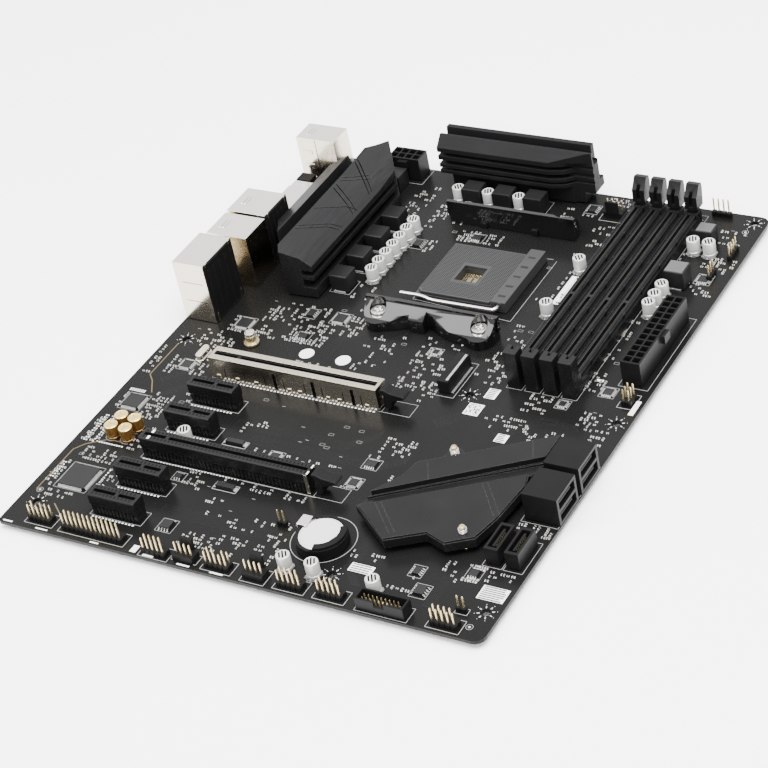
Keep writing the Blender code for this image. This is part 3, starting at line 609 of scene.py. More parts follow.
def small_parts(build, x0, x1, y0, y1, pitch=2.1, fill=0.7, seed=1):
    """Fills a patch of the board with rows of two-ended parts, each part turned its own way at random."""
    draw = random.Random(seed)
    rows = max(1, int((y1 - y0) / pitch))
    columns = max(1, int((x1 - x0) / pitch))
    for j in range(rows):
        for i in range(columns):
            if draw.random() > fill:
                continue
            x = x0 + (i + 0.5) * (x1 - x0) / columns + draw.uniform(-0.12, 0.12)
            y = y0 + (j + 0.5) * (y1 - y0) / rows + draw.uniform(-0.12, 0.12)
            size = draw.choice([(1.1, 0.6), (1.1, 0.6), (1.6, 0.85), (1.5, 0.8)])
            chip_resistor(build, x, y, *size, draw.random() < 0.45, draw.random())


def leads(build, x, y, wide, deep, high, count, span, along_x):
    """Gull-wing leads on two opposite sides of a chip: a shoulder, and a foot on the board."""
    step = span * 0.86 / max(1, count - 1)
    half = min(0.24, step * 0.28) if count > 1 else 0.3
    reach = (deep if along_x else wide) / 2
    knee = high * 0.45
    for i in range(count):
        place = (i - (count - 1) / 2) * step
        for side in (-1, 1):
            for near, far, low, top in (
                (0.0, 0.45, knee, knee + 0.2), (0.35, 0.55, 0.05, knee + 0.2), (0.45, 1.1, 0.02, 0.2),
            ):
                a, b = side * (reach + near), side * (reach + far)
                if along_x:
                    build.box(x + place - half, x + place + half, y + a, y + b, low, top, "tin")
                else:
                    build.box(x + a, x + b, y + place - half, y + place + half, low, top, "tin")


def leaded_chip(build, x, y, wide, deep, high, along_x=0, along_y=0):
    """A moulded chip, its pin-one dot, and its leads: along_x on its y sides, along_y on its x sides."""
    build.box(x - wide / 2, x + wide / 2, y - deep / 2, y + deep / 2, 0.12, high, "chip", inset=0.12)
    if along_x:
        leads(build, x, y, wide, deep, high, along_x, wide, True)
    if along_y:
        leads(build, x, y, wide, deep, high, along_y, deep, False)
    dot_x, dot_y = x - wide / 2 + 0.18 * wide, y - deep / 2 + 0.18 * deep
    build.lathe(dot_x, dot_y, [(0.3, high - 0.1), (0.3, high + 0.02)], "ink", 12)


# ---------------------------------------------------------------- frame nodes

NODE_LOOK = {
    "pcb": "board", "cpu_socket_base": "socket", "cpu_socket_cover": "socket", "cpu_socket_lever": "steel",
    "cpu_backplate": "backplate", "m2_screw": "steel", "m2_standoff": "gold", "m2_connector": "plastic",
    "battery_holder": "plastic", "battery_cell": "battery", "battery_clip": "steel", "chipset_die": "chip",
    "pcie_x16_armour": "armour", "usb3_header": "plastic", "atx_power_24pin": "plastic",
    "cpu_power_8pin": "plastic", "flash_button_housing": "plastic", "flash_button": "latch",
    "vrm_heatsink_rear": "sink", "vrm_heatsink_top": "sink_top", "chipset_heatsink": "sink_plate",
}
PREFIX_LOOK = {
    "cpu_bracket": "gloss", "bracket_screw": "steel", "dimm_slot": "slot", "dimm_latch": "latch",
    "pcie_latch": "latch", "pcie_x": "slot", "chipset_pin": "gold", "sata": "plastic", "vrm_choke": "choke",
    "memory_choke": "choke", "ps2": "port", "dvi": "port", "hdmi": "port", "lan": "port", "audio": "port",
}
EDGE = {
    "pcb": None, "cpu_socket_lever": 0.0, "cpu_bracket_lower": 0.3, "cpu_bracket_upper": 0.3,
    "battery_cell": 0.45, "vrm_heatsink_rear": 0.28, "vrm_heatsink_top": 0.22, "chipset_heatsink": 0.25,
    "pcie_x16_armour": 0.12, "pcie_latch_primary": None, "pcie_latch_secondary": None,
}


def look_of(node):
    if node in NODE_LOOK:
        return NODE_LOOK[node]
    return next(look for prefix, look in PREFIX_LOOK.items() if node.startswith(prefix))


def dress_frame():
    """Gives every node its finish and small edge rounds, except the push pins, which are built apart."""
    for node, thing in frame["nodes"].items():
        look = look_of(node)
        edge = EDGE.get(node, 0.16)
        if node.startswith("chipset_pin"):
            continue
        if edge is None:
            thing.data.materials.clear()
            thing.data.materials.append(LOOKS[look])
            continue
        refine(node, look, edge, cuts=groove_cuts(node))


def wedge(ax, ay, bx, by, width, low, high):
    """The corners of a straight cut between two points, wider at its mouth."""
    way = Vector((bx - ax, by - ay)).normalized()
    side = Vector((-way.y, way.x)) * width / 2
    corners = []
    for end in (Vector((ax, ay)), Vector((bx, by))):
        for shift, z in ((side, high), (-side, high), (-side * 0.6, low), (side * 0.6, low)):
            corners.append(((end + shift).x, (end + shift).y, z))
    return corners


# Width, floor and mouth of the grooves on each surface.
REAR_GROOVES = (0.7, 20.0, 34.0)
SLAB_GROOVES = (0.45, 7.9, 9.0)
PLATE_GROOVES = (0.45, 9.5, 10.6)


def groove_cuts(node):
    """The fine grooves that the frame leaves out of its heatsinks: each from one point to another."""
    if node == "vrm_heatsink_rear":
        lines = (
            (39.2, 206.0, 59.0, 219.5), (39.2, 208.6, 59.0, 222.1), (39.2, 243.0, 59.0, 229.5),
            (39.2, 246.0, 59.0, 232.5), (39.2, 224.0, 59.0, 237.5), (39.2, 249.0, 52.0, 258.0),
            (39.2, 252.0, 50.0, 259.6), (39.2, 268.0, 60.0, 247.0), (39.2, 265.4, 60.0, 244.4),
        )
        return [wedge(*line, *REAR_GROOVES) for line in lines]
    if node == "chipset_heatsink":
        slab = ((164, 56.6, 182, 38.6), (166, 58.0, 184, 40.0), (204, 80.2, 219, 62), (206, 81.5, 221, 63.5))
        plate = ((176, 84.2, 182, 73.5), (214, 109.5, 219, 99.5))
        cuts = [wedge(*line, *SLAB_GROOVES) for line in slab]
        return cuts + [wedge(*line, *PLATE_GROOVES) for line in plate]
    return []


# ---------------------------------------------------------------- board surface

HOLES = [
    (33.02, 298.45), (165.1, 298.45), (237.49, 298.45),
    (10.16, 140.97), (165.1, 140.97), (237.49, 140.97),
    (10.16, 16.51), (165.1, 16.51), (237.49, 16.51),
]
SLOT_Y = [21.4 + 20.32 * n for n in range(6)]
SLOT_X0 = 40.6
X1_END, X16_END = 65.6, 130.0
PLAIN_LONG, ARMOURED = 2, 5
DIMM_X = [182.55 + 9.1 * n for n in range(4)]
CPU_X, CPU_Y = 125.0, 221.5
INK_TOP = 0.035
# x0, x1, y0, y1: upright drive ports, USB 3, both power plugs, M.2, then the stacked drive ports.
CONNECTOR_OUTLINES = [
    (222.9, 231.9, 41.2, 60.6), (232.6, 241.4, 41.2, 60.6), (184.6, 209.2, 0.8, 9.3),
    (226.9, 241.2, 165.8, 220.4), (38.6, 59.2, 290.6, 304.0), (149.2, 158.8, 136.6, 162.4),
    (225.9, 243.2, 70.8, 91.2), (225.9, 243.2, 91.9, 112.4),
]


def build_silkscreen():
    """The printed outlines round the connectors, short marks among the small parts, and tick rows."""
    ink = Build()

    def stroke(*route, width=0.22):
        ink.line(list(route), width, 0.0, INK_TOP, "white")

    def frame_of(x0, x1, y0, y1, width=0.22):
        stroke((x0, y0), (x1, y0), width=width)
        stroke((x0, y1), (x1, y1), width=width)
        stroke((x0, y0), (x0, y1), width=width)
        stroke((x1, y0), (x1, y1), width=width)

    for n, y in enumerate(SLOT_Y):
        end = X16_END + 1.6 if n in (PLAIN_LONG, ARMOURED) else X1_END + 1.4
        frame_of(SLOT_X0 - 1.2, end, y - 4.4, y + 4.4)
    for y in (SLOT_Y[PLAIN_LONG], SLOT_Y[ARMOURED]):
        frame_of(X16_END + 1.6, 146.0, y - 4.4, y + 4.4)
    for x in DIMM_X:
        frame_of(x - 3.9, x + 3.9, 150.6, 299.2, 0.18)
    stroke((157.8, 196), (157.8, 246))
    stroke((103.3, 200.0), (103.3, 243.2), (155.5, 247.0))
    stroke((103.3, 200.0), (157.8, 196))
    ink.ring(150.6, 34.6, 14.4, 14.7, 0.0, INK_TOP, "white", 64)
    for outline in CONNECTOR_OUTLINES:
        frame_of(*outline)
    for x0, x1, y0, y1 in HEADER_BOXES:
        frame_of(x0, x1, y0, y1, 0.26)
    for x in (94.0, 111.2, 128.5):
        frame_of(x - 5.7, x + 5.7, 281.0, 292.0, 0.18)
    for y in range(4):
        frame_of(59.5, 70.7, 194.7 + 17.6 * y, 205.9 + 17.6 * y, 0.18)
    for x, y in POLYMER_CAPS:
        ink.ring(x, y, 3.75, 3.95, 0.0, INK_TOP, "white", 28, start=200, sweep=140)
    for x, y in AUDIO_CAPS:
        ink.ring(x, y, 3.75, 3.95, 0.0, INK_TOP, "white", 28, start=100, sweep=200)
    for x, y, wide, deep, *_ in CHIPS:
        frame_of(x - wide / 2 - 1.5, x + wide / 2 + 1.5, y - deep / 2 - 1.5, y + deep / 2 + 1.5, 0.2)
    frame_of(71.6, 83.9, 76.8, 81.2, 0.3)
    frame_of(84.1, 96.4, 48.7, 53.1, 0.3)
    stroke((95.0, 57.4), (133.0, 57.4), width=0.35)
    draw = random.Random(5)
    for _ in range(150):
        x, y = draw.uniform(4, 240), draw.uniform(4, 300)
        if blocked(x, y, 3.2):
            continue
        if draw.random() < 0.5:
            frame_of(x - 1.2, x + 1.2, y - 0.7, y + 0.7, 0.12)
        else:
            stroke((x - 0.9, y), (x + 0.9, y), width=0.2)
    for x0, x1, y0, y1, rows, step in TICK_ROWS:
        for r in range(rows):
            y = y0 + (y1 - y0) * (r + 0.5) / rows
            for k in range(int((x1 - x0) / step)):
                ink.box(x0 + k * step, x0 + (k + 0.55) * step, y - 0.38, y + 0.38, 0.0, INK_TOP, "label")
    for x in (220.8, 222.3, 223.8, 225.3):
        for y in (38.5, 40.1, 31.1, 32.7):
            ink.box(x - 0.45, x + 0.45, y - 0.5, y + 0.5, 0.0, 0.06, "tin")
    for x0, x1, y0, y1 in WHITE_PATCHES:
        ink.box(x0, x1, y0, y1, 0.0, 0.06, "label")
    ink.finish("silkscreen")


def blocked(x, y, room):
    """True where a connector, heatsink or other tall piece stands, with room to spare round it."""
    return any(x0 - room < x < x1 + room and y0 - room < y < y1 + room for x0, x1, y0, y1 in FOOTPRINTS)


def build_board_marks():
    """Gold audio lines, round pads by the M.2 slot, fiducials and the holes' solder stars."""
    marks = Build()
    for route in (
        [(8.0, 137.0), (8.0, 112.0), (12.0, 108.0), (17.0, 100.0)],
        [(25.0, 64.0), (17.0, 64.0), (8.0, 58.0), (4.5, 53.0), (4.5, 24.0)],
        [(19.0, 18.0), (28.0, 11.0)],
    ):
        marks.line(route, 0.55, 0.0, 0.04, "copper")
    for x, y in ((74.8, 147.2), (94.7, 147.4)):
        marks.lathe(x, y, [(3.7, 0.0), (3.7, 0.09), (1.7, 0.09), (1.5, 0.05), (0.4, 0.05)], "label", 32)
    for x, y in ((235.0, 7.0), (6.5, 24.0), (236.0, 291.0)):
        marks.lathe(x, y, [(0.6, 0.0), (0.6, 0.05)], "tin", 16)
        marks.ring(x, y, 1.4, 1.6, 0.0, 0.03, "white", 24)
    for x, y in HOLES:
        for side in (1, -1):
            base = 0.0 if side > 0 else UNDER
            for k in range(8):
                turn = math.radians(22.5 + 45 * k)
                c, s = math.cos(turn), math.sin(turn)
                low, high = sorted((base + side * 0.06, base + side * 0.16))
                marks.turned(x + 3.15 * c, y + 3.15 * s, 1.2, 0.42, low, high, "tin", math.degrees(turn))
                low, high = sorted((base, base + side * 0.1))
                marks.turned(x + 4.75 * c, y + 4.75 * s, 0.3, 0.3, low, high, "tin", math.degrees(turn))
    marks.finish("board_marks", slot="plated_brass")


def build_traces():
    """Bundles of tracks that show through the mask, with 45 degree turns, and the vias they end in."""
    tracks = Build()
    vias = Build()

    def bundle(route, count, pitch, width=0.16):
        first, second = Vector(route[0]), Vector(route[1])
        way = (second - first).normalized()
        across = Vector((-way.y, way.x))
        for i in range(count):
            shift = across * pitch * (i - (count - 1) / 2)
            path = [Vector(p) + shift for p in route]
            tracks.line([(p.x, p.y) for p in path], width, 0.0, 0.014, "trace")
            for end in (path[0], path[-1]):
                vias.lathe(end.x, end.y, [(0.28, 0.0), (0.28, 0.03), (0.1, 0.03)], "trace", 8)

    for route, count, pitch in (
        ([(157.5, 226), (166, 226), (179, 239)], 9, 0.7),
        ([(157.5, 208), (168, 208), (178, 198)], 9, 0.7),
        ([(158, 196), (168, 186), (178, 186)], 8, 0.6),
        ([(132, 132), (132, 176)], 10, 0.8),
        ([(120, 131), (112, 139), (112, 172)], 10, 0.8),
        ([(84, 132), (84, 160), (92, 168)], 8, 0.8),
        ([(70, 118), (130, 118)], 6, 0.8),
        ([(70, 92), (128, 92), (140, 104)], 8, 0.8),
        ([(70, 84), (150, 84), (160, 92)], 8, 0.8),
        ([(70, 52), (120, 52), (134, 40)], 6, 0.9),
        ([(70, 30), (130, 30)], 8, 0.9),
        ([(160, 118), (176, 134), (176, 148)], 9, 0.8),
        ([(190, 118), (205, 133), (222, 133)], 7, 0.8),
        ([(213, 30), (213, 12)], 6, 0.8),
        ([(170, 52), (170, 22), (178, 14)], 6, 0.8),
        ([(222, 66), (222, 70)], 4, 0.8),
        ([(22, 100), (36, 114), (36, 134)], 5, 0.8),
        ([(30, 32), (38, 32), (38, 12)], 4, 0.8),
        ([(16, 110), (30, 124), (30, 150)], 5, 0.8),
        ([(212, 180), (224, 192), (224, 214)], 6, 0.8),
        ([(180, 134), (212, 134)], 6, 0.8),
    ):
        bundle(route, count, pitch)
    draw = random.Random(11)
    for _ in range(700):
        x, y = draw.uniform(3, 241), draw.uniform(3, 302)
        if not blocked(x, y, 0.6):
            vias.lathe(x, y, [(0.26, 0.0), (0.26, 0.03), (0.1, 0.03)], "trace", 7)
    tracks.finish("traces")
    vias.finish("vias")


# ---------------------------------------------------------------- capacitors, chokes and chips

POLYMER_CAPS = (
    [(76.7, 208.8 + 7.13 * n) for n in range(7)]
    + [(x, 283.0) for x in (85.6, 102.6, 119.8)]
    + [(172.5, 242.0), (172.8, 205.6), (219.0, 233.0), (219.0, 225.2), (219.0, 218.2)]
    + [(219.0, 269.5), (227.0, 269.5), (144.2, 13.8), (158.2, 13.8)]
    + [(188.1, 12.9), (55.0, 73.2)]
)
CAP_HIGH = 7.9
AUDIO_CAPS = [(18.7, 74.8), (26.3, 74.8), (18.0, 67.2), (26.0, 67.2)]


def build_polymer_caps():
    """Polymer cans with a pinched base, a rolled top edge and three dark bars, and the audio capacitors."""
    cans = Build()
    draw = random.Random(3)
    high = CAP_HIGH
    for x, y in POLYMER_CAPS:
        cans.prism(
            [(x - 3.2, y - 3.2), (x + 2.2, y - 3.2), (x + 3.2, y - 2.2), (x + 3.2, y + 2.2),
             (x + 2.2, y + 3.2), (x - 3.2, y + 3.2)],
            0.05, 0.6, "skirt", inset=0.1,
        )
        cans.lathe(
            x, y,
            [(3.0, 0.75), (3.15, 0.95), (3.15, 1.5), (2.85, 1.75), (2.85, 1.95), (3.15, 2.25),
             (3.15, high - 0.45), (3.05, high - 0.15), (2.8, high), (2.6, high), (2.5, high - 0.12)],
            "can", 32,
        )
        turn = 30 + draw.uniform(-8, 8)
        for near, long in ((-1.4, 3.4), (0.0, 4.7), (1.4, 3.4)):
            cans.turned(
                x + near * math.cos(math.radians(turn)), y + near * math.sin(math.radians(turn)),
                0.75, long, high - 0.13, high - 0.04, "hole", turn,
            )
        for side in (-1, 1):
            cans.box(x - 0.35, x + 0.35, y + side * 3.3 - 0.35, y + side * 3.3 + 0.35, 0.02, 0.16, "tin")
    cans.finish("polymer_capacitors", slot="bright_steel")
    gold = Build()
    for x, y in AUDIO_CAPS:
        gold.lathe(
            x, y,
            [(3.3, 0.05), (3.4, 0.3), (3.4, 0.9), (3.1, 1.1), (3.1, 1.3), (3.4, 1.55), (3.4, 6.2),
             (3.28, 6.55)],
            "amber", 32,
        )
        gold.lathe(x, y, [(3.25, 6.45), (3.2, 6.8), (2.95, 7.0), (2.7, 7.0), (2.6, 6.9)], "pale_gold", 32)
        for turn in (20, 140, 260):
            gold.turned(
                x + 1.1 * math.cos(math.radians(turn)), y + 1.1 * math.sin(math.radians(turn)),
                2.0, 0.2, 6.88, 6.93, "amber", turn,
            )
    gold.finish("audio_capacitors", slot="plated_brass")


def build_top_chokes():
    """The small chokes by the top edge, and the lids and tabs of the frame's own chokes."""
    cubes = Build()
    for x0, x1, y0, y1, top in (
        (89.0, 99.0, 279.6, 288.4, 9.2), (106.2, 116.2, 279.6, 288.4, 9.2), (123.5, 133.5, 279.6, 288.4, 9.2),
        (42.0, 52.0, 281.0, 290.6, 9.0),
    ):
        cubes.box(x0, x1, y0, y1, 0.3, top, "choke", inset=0.3)
        cubes.box(x0 + 1.2, x1 - 1.2, y0 - 0.25, y0 + 0.3, 0.02, 0.7, "tin")
        cubes.box(x0 + 1.2, x1 - 1.2, y1 - 0.3, y1 + 0.25, 0.02, 0.7, "tin")
    cubes.finish("top_chokes", bevel=0.3)
    plates = Build()
    for node in [f"vrm_choke_{n}" for n in range(1, 5)] + ["memory_choke_1", "memory_choke_2"]:
        x0, x1, y0, y1, _, top = place_of(node)
        lid = "choke_lid" if node.startswith("memory") else "choke_top"
        plates.box(x0 + 0.5, x1 - 0.5, y0 + 0.5, y1 - 0.5, top - 0.02, top + 0.12, lid, inset=0.1)
        plates.box(x0 + 1.6, x1 - 1.6, y0 - 0.16, y0 + 0.1, 0.02, 0.7, "tin")
        plates.box(x0 + 1.6, x1 - 1.6, y1 - 0.1, y1 + 0.16, 0.02, 0.7, "tin")
    plates.finish("choke_plates")


CHIPS = [
    # x, y, wide, deep, high, leads on the y sides, leads on the x sides
    (12.8, 91.5, 9.0, 9.0, 1.2, 16, 16),
    (19.7, 36.8, 14.6, 14.6, 1.4, 30, 30),
    (83.5, 242.0, 3.9, 5.0, 1.3, 0, 4),
    (78.5, 21.0, 5.2, 5.2, 1.6, 4, 0),
    (206.0, 19.3, 4.6, 5.2, 1.4, 0, 4),
    (144.6, 71.0, 4.4, 4.4, 0.9, 6, 6),
    (146.0, 84.5, 5.0, 4.0, 1.0, 5, 0),
    (222.5, 35.5, 4.0, 4.0, 1.1, 4, 0),
    (209.0, 146.5, 3.2, 3.2, 0.9, 4, 4),
    (232.2, 250.0, 5.0, 5.0, 0.9, 6, 6),
    (60.6, 176.0, 3.8, 4.6, 1.0, 0, 4),
    (77.0, 176.0, 6.0, 6.0, 0.9, 9, 9),
    (32.0, 160.0, 6.8, 6.8, 0.9, 10, 10),
    (135.0, 165.0, 3.0, 3.0, 0.8, 4, 4),
    (22.0, 123.5, 5.2, 5.2, 0.9, 7, 7),
    (65.0, 51.2, 3.0, 2.8, 1.0, 3, 0),
    (100.5, 76.0, 4.6, 4.6, 0.8, 6, 6),
    (110.4, 254.0, 4.6, 4.0, 0.9, 5, 0),
    (156.0, 291.0, 4.0, 4.6, 1.0, 0, 4),
    (225.0, 160.0, 4.4, 4.4, 0.9, 5, 5),
    (199.0, 29.5, 3.2, 4.2, 1.0, 0, 4),
    (66.0, 158.6, 4.4, 3.8, 1.0, 4, 0),
]
SMALL_PART_PATCHES = [
    (88, 93, 234, 247, 0.7), (100, 124, 249.5, 259, 0.62), (126, 150, 127, 175, 0.34),
    (192, 204, 137, 150, 0.5), (212.5, 222, 158, 172, 0.62), (220, 230, 130, 145, 0.6),
    (230, 238, 124, 135, 0.5), (144, 160, 92, 104, 0.55), (141, 150, 88, 91, 0.8), (139, 149, 66, 68, 0.8),
    (157, 161, 76, 85, 0.75), (58, 79, 153, 172, 0.5), (25, 42, 152, 156, 0.8), (24, 28, 156, 170, 0.7),
    (38, 46, 164, 177, 0.6), (64, 70, 170, 182, 0.6), (82, 92, 164, 186, 0.5), (26, 34, 117, 131, 0.6),
    (12, 18, 115, 131, 0.6), (2, 7, 108, 134, 0.5), (68, 79, 45, 57, 0.6), (29, 36, 60, 65, 0.8),
    (72, 79, 86, 94, 0.7), (80, 87, 90, 97, 0.7), (44, 50, 77, 83, 0.75), (88, 106, 12, 21, 0.55),
    (181, 184, 13, 21, 0.7), (190, 202, 16, 19, 0.7), (198, 204, 24, 27, 0.7), (218, 227, 30, 32, 0.8),
    (218, 227, 39, 41, 0.8), (152, 162, 284, 287, 0.8), (160, 173, 296, 303, 0.55),
    (225, 241, 237, 247, 0.55), (226, 242, 256, 268, 0.5), (224, 238, 276, 290, 0.4), (3, 13, 60, 80, 0.45),
    (10, 29, 48, 58, 0.62), (4, 10, 28, 46, 0.5), (30, 38, 27, 47, 0.6), (10, 26, 21, 27, 0.65),
    (5, 7, 86, 100, 0.7), (20, 31, 82, 101, 0.62), (28, 40, 66, 78, 0.35), (160, 176, 150, 195, 0.22),
    (161, 176, 212, 240, 0.2), (163, 178, 246, 280, 0.22), (80, 102, 262, 277, 0.5),
    (104, 150, 268, 278, 0.4), (78, 84, 256, 276, 0.4), (140, 152, 278, 290, 0.4), (66, 92, 126, 142, 0.3),
    (96, 130, 128, 136, 0.3), (98, 116, 140, 172, 0.2), (86, 134, 76, 80, 0.4), (84, 130, 52, 57, 0.35),
    (86, 134, 28, 44, 0.16), (106, 120, 12, 24, 0.4), (124, 136, 12, 30, 0.4), (166, 182, 28, 34, 0.4),
    (228, 240, 32, 40, 0.4), (208, 218, 28, 40, 0.35), (226, 243, 63, 70, 0.4), (226, 241, 114, 122, 0.45),
    (44, 60, 164, 182, 0.3), (40, 58, 152, 162, 0.35), (60, 72, 262, 290, 0.4), (212, 218, 180, 214, 0.35),
    (72, 82, 190, 204, 0.4), (34, 40, 98, 112, 0.5), (16, 28, 138, 152, 0.4), (26, 36, 134, 148, 0.4),
    (208, 216, 255, 296, 0.3), (170, 178, 150, 165, 0.4), (179, 208, 122, 132, 0.35),
    (200, 226, 118, 128, 0.3),
]


def build_chips():
    """Chips, two dark bodies with end tabs, the crystal, the small two-ended parts and the labels."""
    chips = Build()
    for chip in CHIPS:
        leaded_chip(chips, *chip)
    for x, y in ((77.75, 79.0), (90.25, 50.9)):
        chips.box(x - 4.6, x + 4.6, y - 1.35, y + 1.35, 0.05, 1.9, "chip", inset=0.12)
        for side in (-1, 1):
            chips.box(x + side * 5.2 - 0.75, x + side * 5.2 + 0.75, y - 1.1, y + 1.1, 0.02, 0.5, "tin")
    chips.finish("chips", slot="chip_package")
    crystals = Build()
    x, y, radius, reach = 26.0, 132.0, 1.8, 3.0
    levels = []
    for grow, z in ((0.45, 0.05), (0.45, 0.45), (0.0, 0.5), (0.0, 3.0), (-0.35, 3.4)):
        round_end = arc(x, y + reach, radius + grow, 0, 180, 10)
        levels.append([(a, b, z) for a, b in round_end + arc(x, y - reach, radius + grow, 180, 360, 10)])
    crystals.rings(levels, "port")
    crystals.finish("crystal", slot="bright_steel")
    parts = Build()
    for seed, (x0, x1, y0, y1, fill) in enumerate(SMALL_PART_PATCHES):
        small_parts(parts, x0, x1, y0, y1, fill=fill, seed=seed)
    parts.finish("small_parts", slot="chip_package")
    codes = Build()
    draw = random.Random(21)
    x0, x1, y0, y1 = SQUARE_LABEL
    codes.box(x0, x1, y0, y1, 0.0, LABEL_TOP, "label")
    for i in range(14):
        for j in range(14):
            if draw.random() < 0.45:
                px, py = x0 + 0.4 + i * 0.48, y0 + 0.5 + j * 0.5
                codes.box(px, px + 0.46, py, py + 0.48, 0.08, 0.105, "ink")
    for x0, x1, y0, y1 in LABELS:
        codes.box(x0, x1, y0, y1, 0.0, LABEL_TOP, "label")
        rows = max(2, int((y1 - y0) / 1.1))
        for r in range(rows):
            y = y0 + (r + 0.5) * (y1 - y0) / rows
            codes.box(x0 + 0.6, x1 - 0.6 - draw.uniform(0, 1.5), y - 0.3, y + 0.3, 0.08, 0.12, "ink")
    codes.finish("labels", slot="bright_steel")


LABEL_TOP = 0.09
SQUARE_LABEL = (168.0, 175.5, 128.0, 136.0)
LABELS = [
    (229.5, 241.5, 23.0, 31.0), (170.0, 181.0, 21.0, 26.0),
    (172.0, 177.5, 141.0, 148.0), (190.5, 196.0, 114.5, 120.0),
]
WHITE_PATCHES = [
    (170.4, 173.8, 214.0, 237.0), (71.5, 74.5, 1.5, 5.8), (78.5, 84.0, 1.0, 2.2), (2.5, 7.5, 1.0, 1.8),
    (20.5, 27.0, 1.0, 1.7), (50.5, 55.0, 0.9, 1.6), (96.5, 103.0, 0.9, 1.7), (113.5, 120.0, 0.9, 1.7),
    (239.6, 242.0, 148.0, 158.0), (216.0, 219.4, 166.2, 167.6), (104.0, 106.5, 268.0, 269.2),
]
TICK_ROWS = [
    # x0, x1, y0, y1, rows, step
    (41.2, 65.0, SLOT_Y[0] - 5.6, SLOT_Y[0] - 4.8, 1, 1.8),
    (41.2, 65.0, SLOT_Y[1] - 5.6, SLOT_Y[1] - 4.8, 1, 1.8),
    (41.2, 65.0, SLOT_Y[3] - 5.6, SLOT_Y[3] - 4.8, 1, 1.8),
    (41.2, 65.0, SLOT_Y[4] - 5.6, SLOT_Y[4] - 4.8, 1, 1.8), (41.0, 95.0, 57.0, 57.8, 1, 1.6),
    (46.0, 130.6, 117.2, 118.0, 1, 1.9), (5.0, 8.0, 60.0, 80.0, 12, 1.2), (10.0, 12.0, 60.0, 80.0, 12, 1.2),
    (12.0, 28.0, 60.5, 62.0, 1, 1.4), (5.0, 15.0, 98.6, 100.6, 2, 1.3), (30.6, 33.0, 36.0, 46.0, 6, 1.3),
    (5.0, 8.6, 33.0, 45.0, 7, 1.3),
]

# ---------------------------------------------------------------- headers and connector pins

HEADERS = [
    # x and y of the first pin, pins along x, rows, the key pin left out or None, pin height
    (15.2, 6.0, 5, 2, 6, 8.4), (34.0, 5.4, 13, 2, 25, 8.4), (78.6, 3.2, 5, 2, 9, 8.4),
    (110.3, 4.5, 5, 2, 7, 8.4), (147.0, 4.0, 5, 2, 9, 8.4), (166.4, 4.2, 5, 2, 9, 8.4),
    (219.8, 4.2, 5, 2, 9, 8.4), (226.6, 14.2, 2, 1, None, 8.4), (127.2, 37.3, 2, 1, None, 8.4),
    (234.6, 250.6, 1, 3, None, 8.4), (237.6, 268.0, 1, 4, None, 8.4), (216.2, 301.2, 4, 1, None, 10.0),
    (235.2, 154.2, 2, 3, None, 8.4),
]
HEADER_BOXES = [
    (12.8, 28.0, 3.2, 11.2), (31.6, 67.0, 2.7, 10.6), (76.2, 91.4, 0.6, 8.4), (108.0, 123.2, 1.8, 9.6),
    (144.6, 159.8, 1.3, 9.2), (164.0, 179.2, 1.5, 9.4), (217.4, 232.6, 1.5, 9.4),
    (225.0, 230.8, 12.4, 16.0), (128.4, 140.4, 1.0, 10.0), (162.4, 175.4, 283.4, 294.4),
    (92.4, 105.2, 3.0, 8.6), (232.6, 240.2, 151.6, 161.8),
]
FAN_HEADERS = [(134.4, 5.5, 1), (169.0, 289.2, -1), (98.8, 5.6, 1)]
PIN = 0.32
PITCH = 2.54


def pin(build, x, y, low, high, look="gold", half=PIN):
    """A square pin with a pointed tip."""
    rings = []
    for z, size in ((low, half), (high - 0.5, half), (high, half * 0.45)):
        rings.append([(a, b, z) for a, b in rectangle(x - size, x + size, y - size, y + size)])
    build.rings(rings, look)


def build_headers():
    pins, bases = Build(), Build()
    for x0, y0, along, rows, key, high in HEADERS:
        for j in range(rows):
            for i in range(along):
                x, y = x0 + PITCH * i, y0 + PITCH * j
                bases.prism(
                    [(x - 1.24, y - 0.8), (x - 0.8, y - 1.24), (x + 0.8, y - 1.24), (x + 1.24, y - 0.8),
                     (x + 1.24, y + 0.8), (x + 0.8, y + 1.24), (x - 0.8, y + 1.24), (x - 1.24, y + 0.8)],
                    0.1, 2.5, "plastic",
                )
                if j * along + i != key:
                    pin(pins, x, y, 2.3, high)
                    solder(x, y)
    for x, y, way in FAN_HEADERS:
        bases.box(x - 5.2, x + 5.2, y - 2.9, y + 2.9, 0.1, 3.2, "plastic", inset=0.15)
        wall = y + way * 2.9
        bases.box(x - 3.4, x + 3.4, wall - 0.55, wall + 0.55, 3.0, 9.6, "plastic", inset=0.2)
        for i in range(4):
            pin(pins, x - 3.81 + PITCH * i, y - way * 0.6, 3.0, 9.0)
            solder(x - 3.81 + PITCH * i, y - way * 0.6)
    pins.finish("header_pins")
    bases.finish("header_bases", bevel=0.1, segments=1)


SOLDER_TAILS = []


def solder(x, y, radius=0.62):
    """Notes a through-hole tail, for its joint on the underside."""
    SOLDER_TAILS.append((x, y, radius))


def build_solder_joints():
    joints = Build()
    for x, y, radius in SOLDER_TAILS:
        joints.lathe(
            x, y,
            [(radius, UNDER), (radius * 0.72, UNDER - 0.35), (radius * 0.36, UNDER - 0.8),
             (radius * 0.3, UNDER - 1.15)],
            "tin", 8,
        )
    joints.finish("solder_joints", slot="bright_steel")


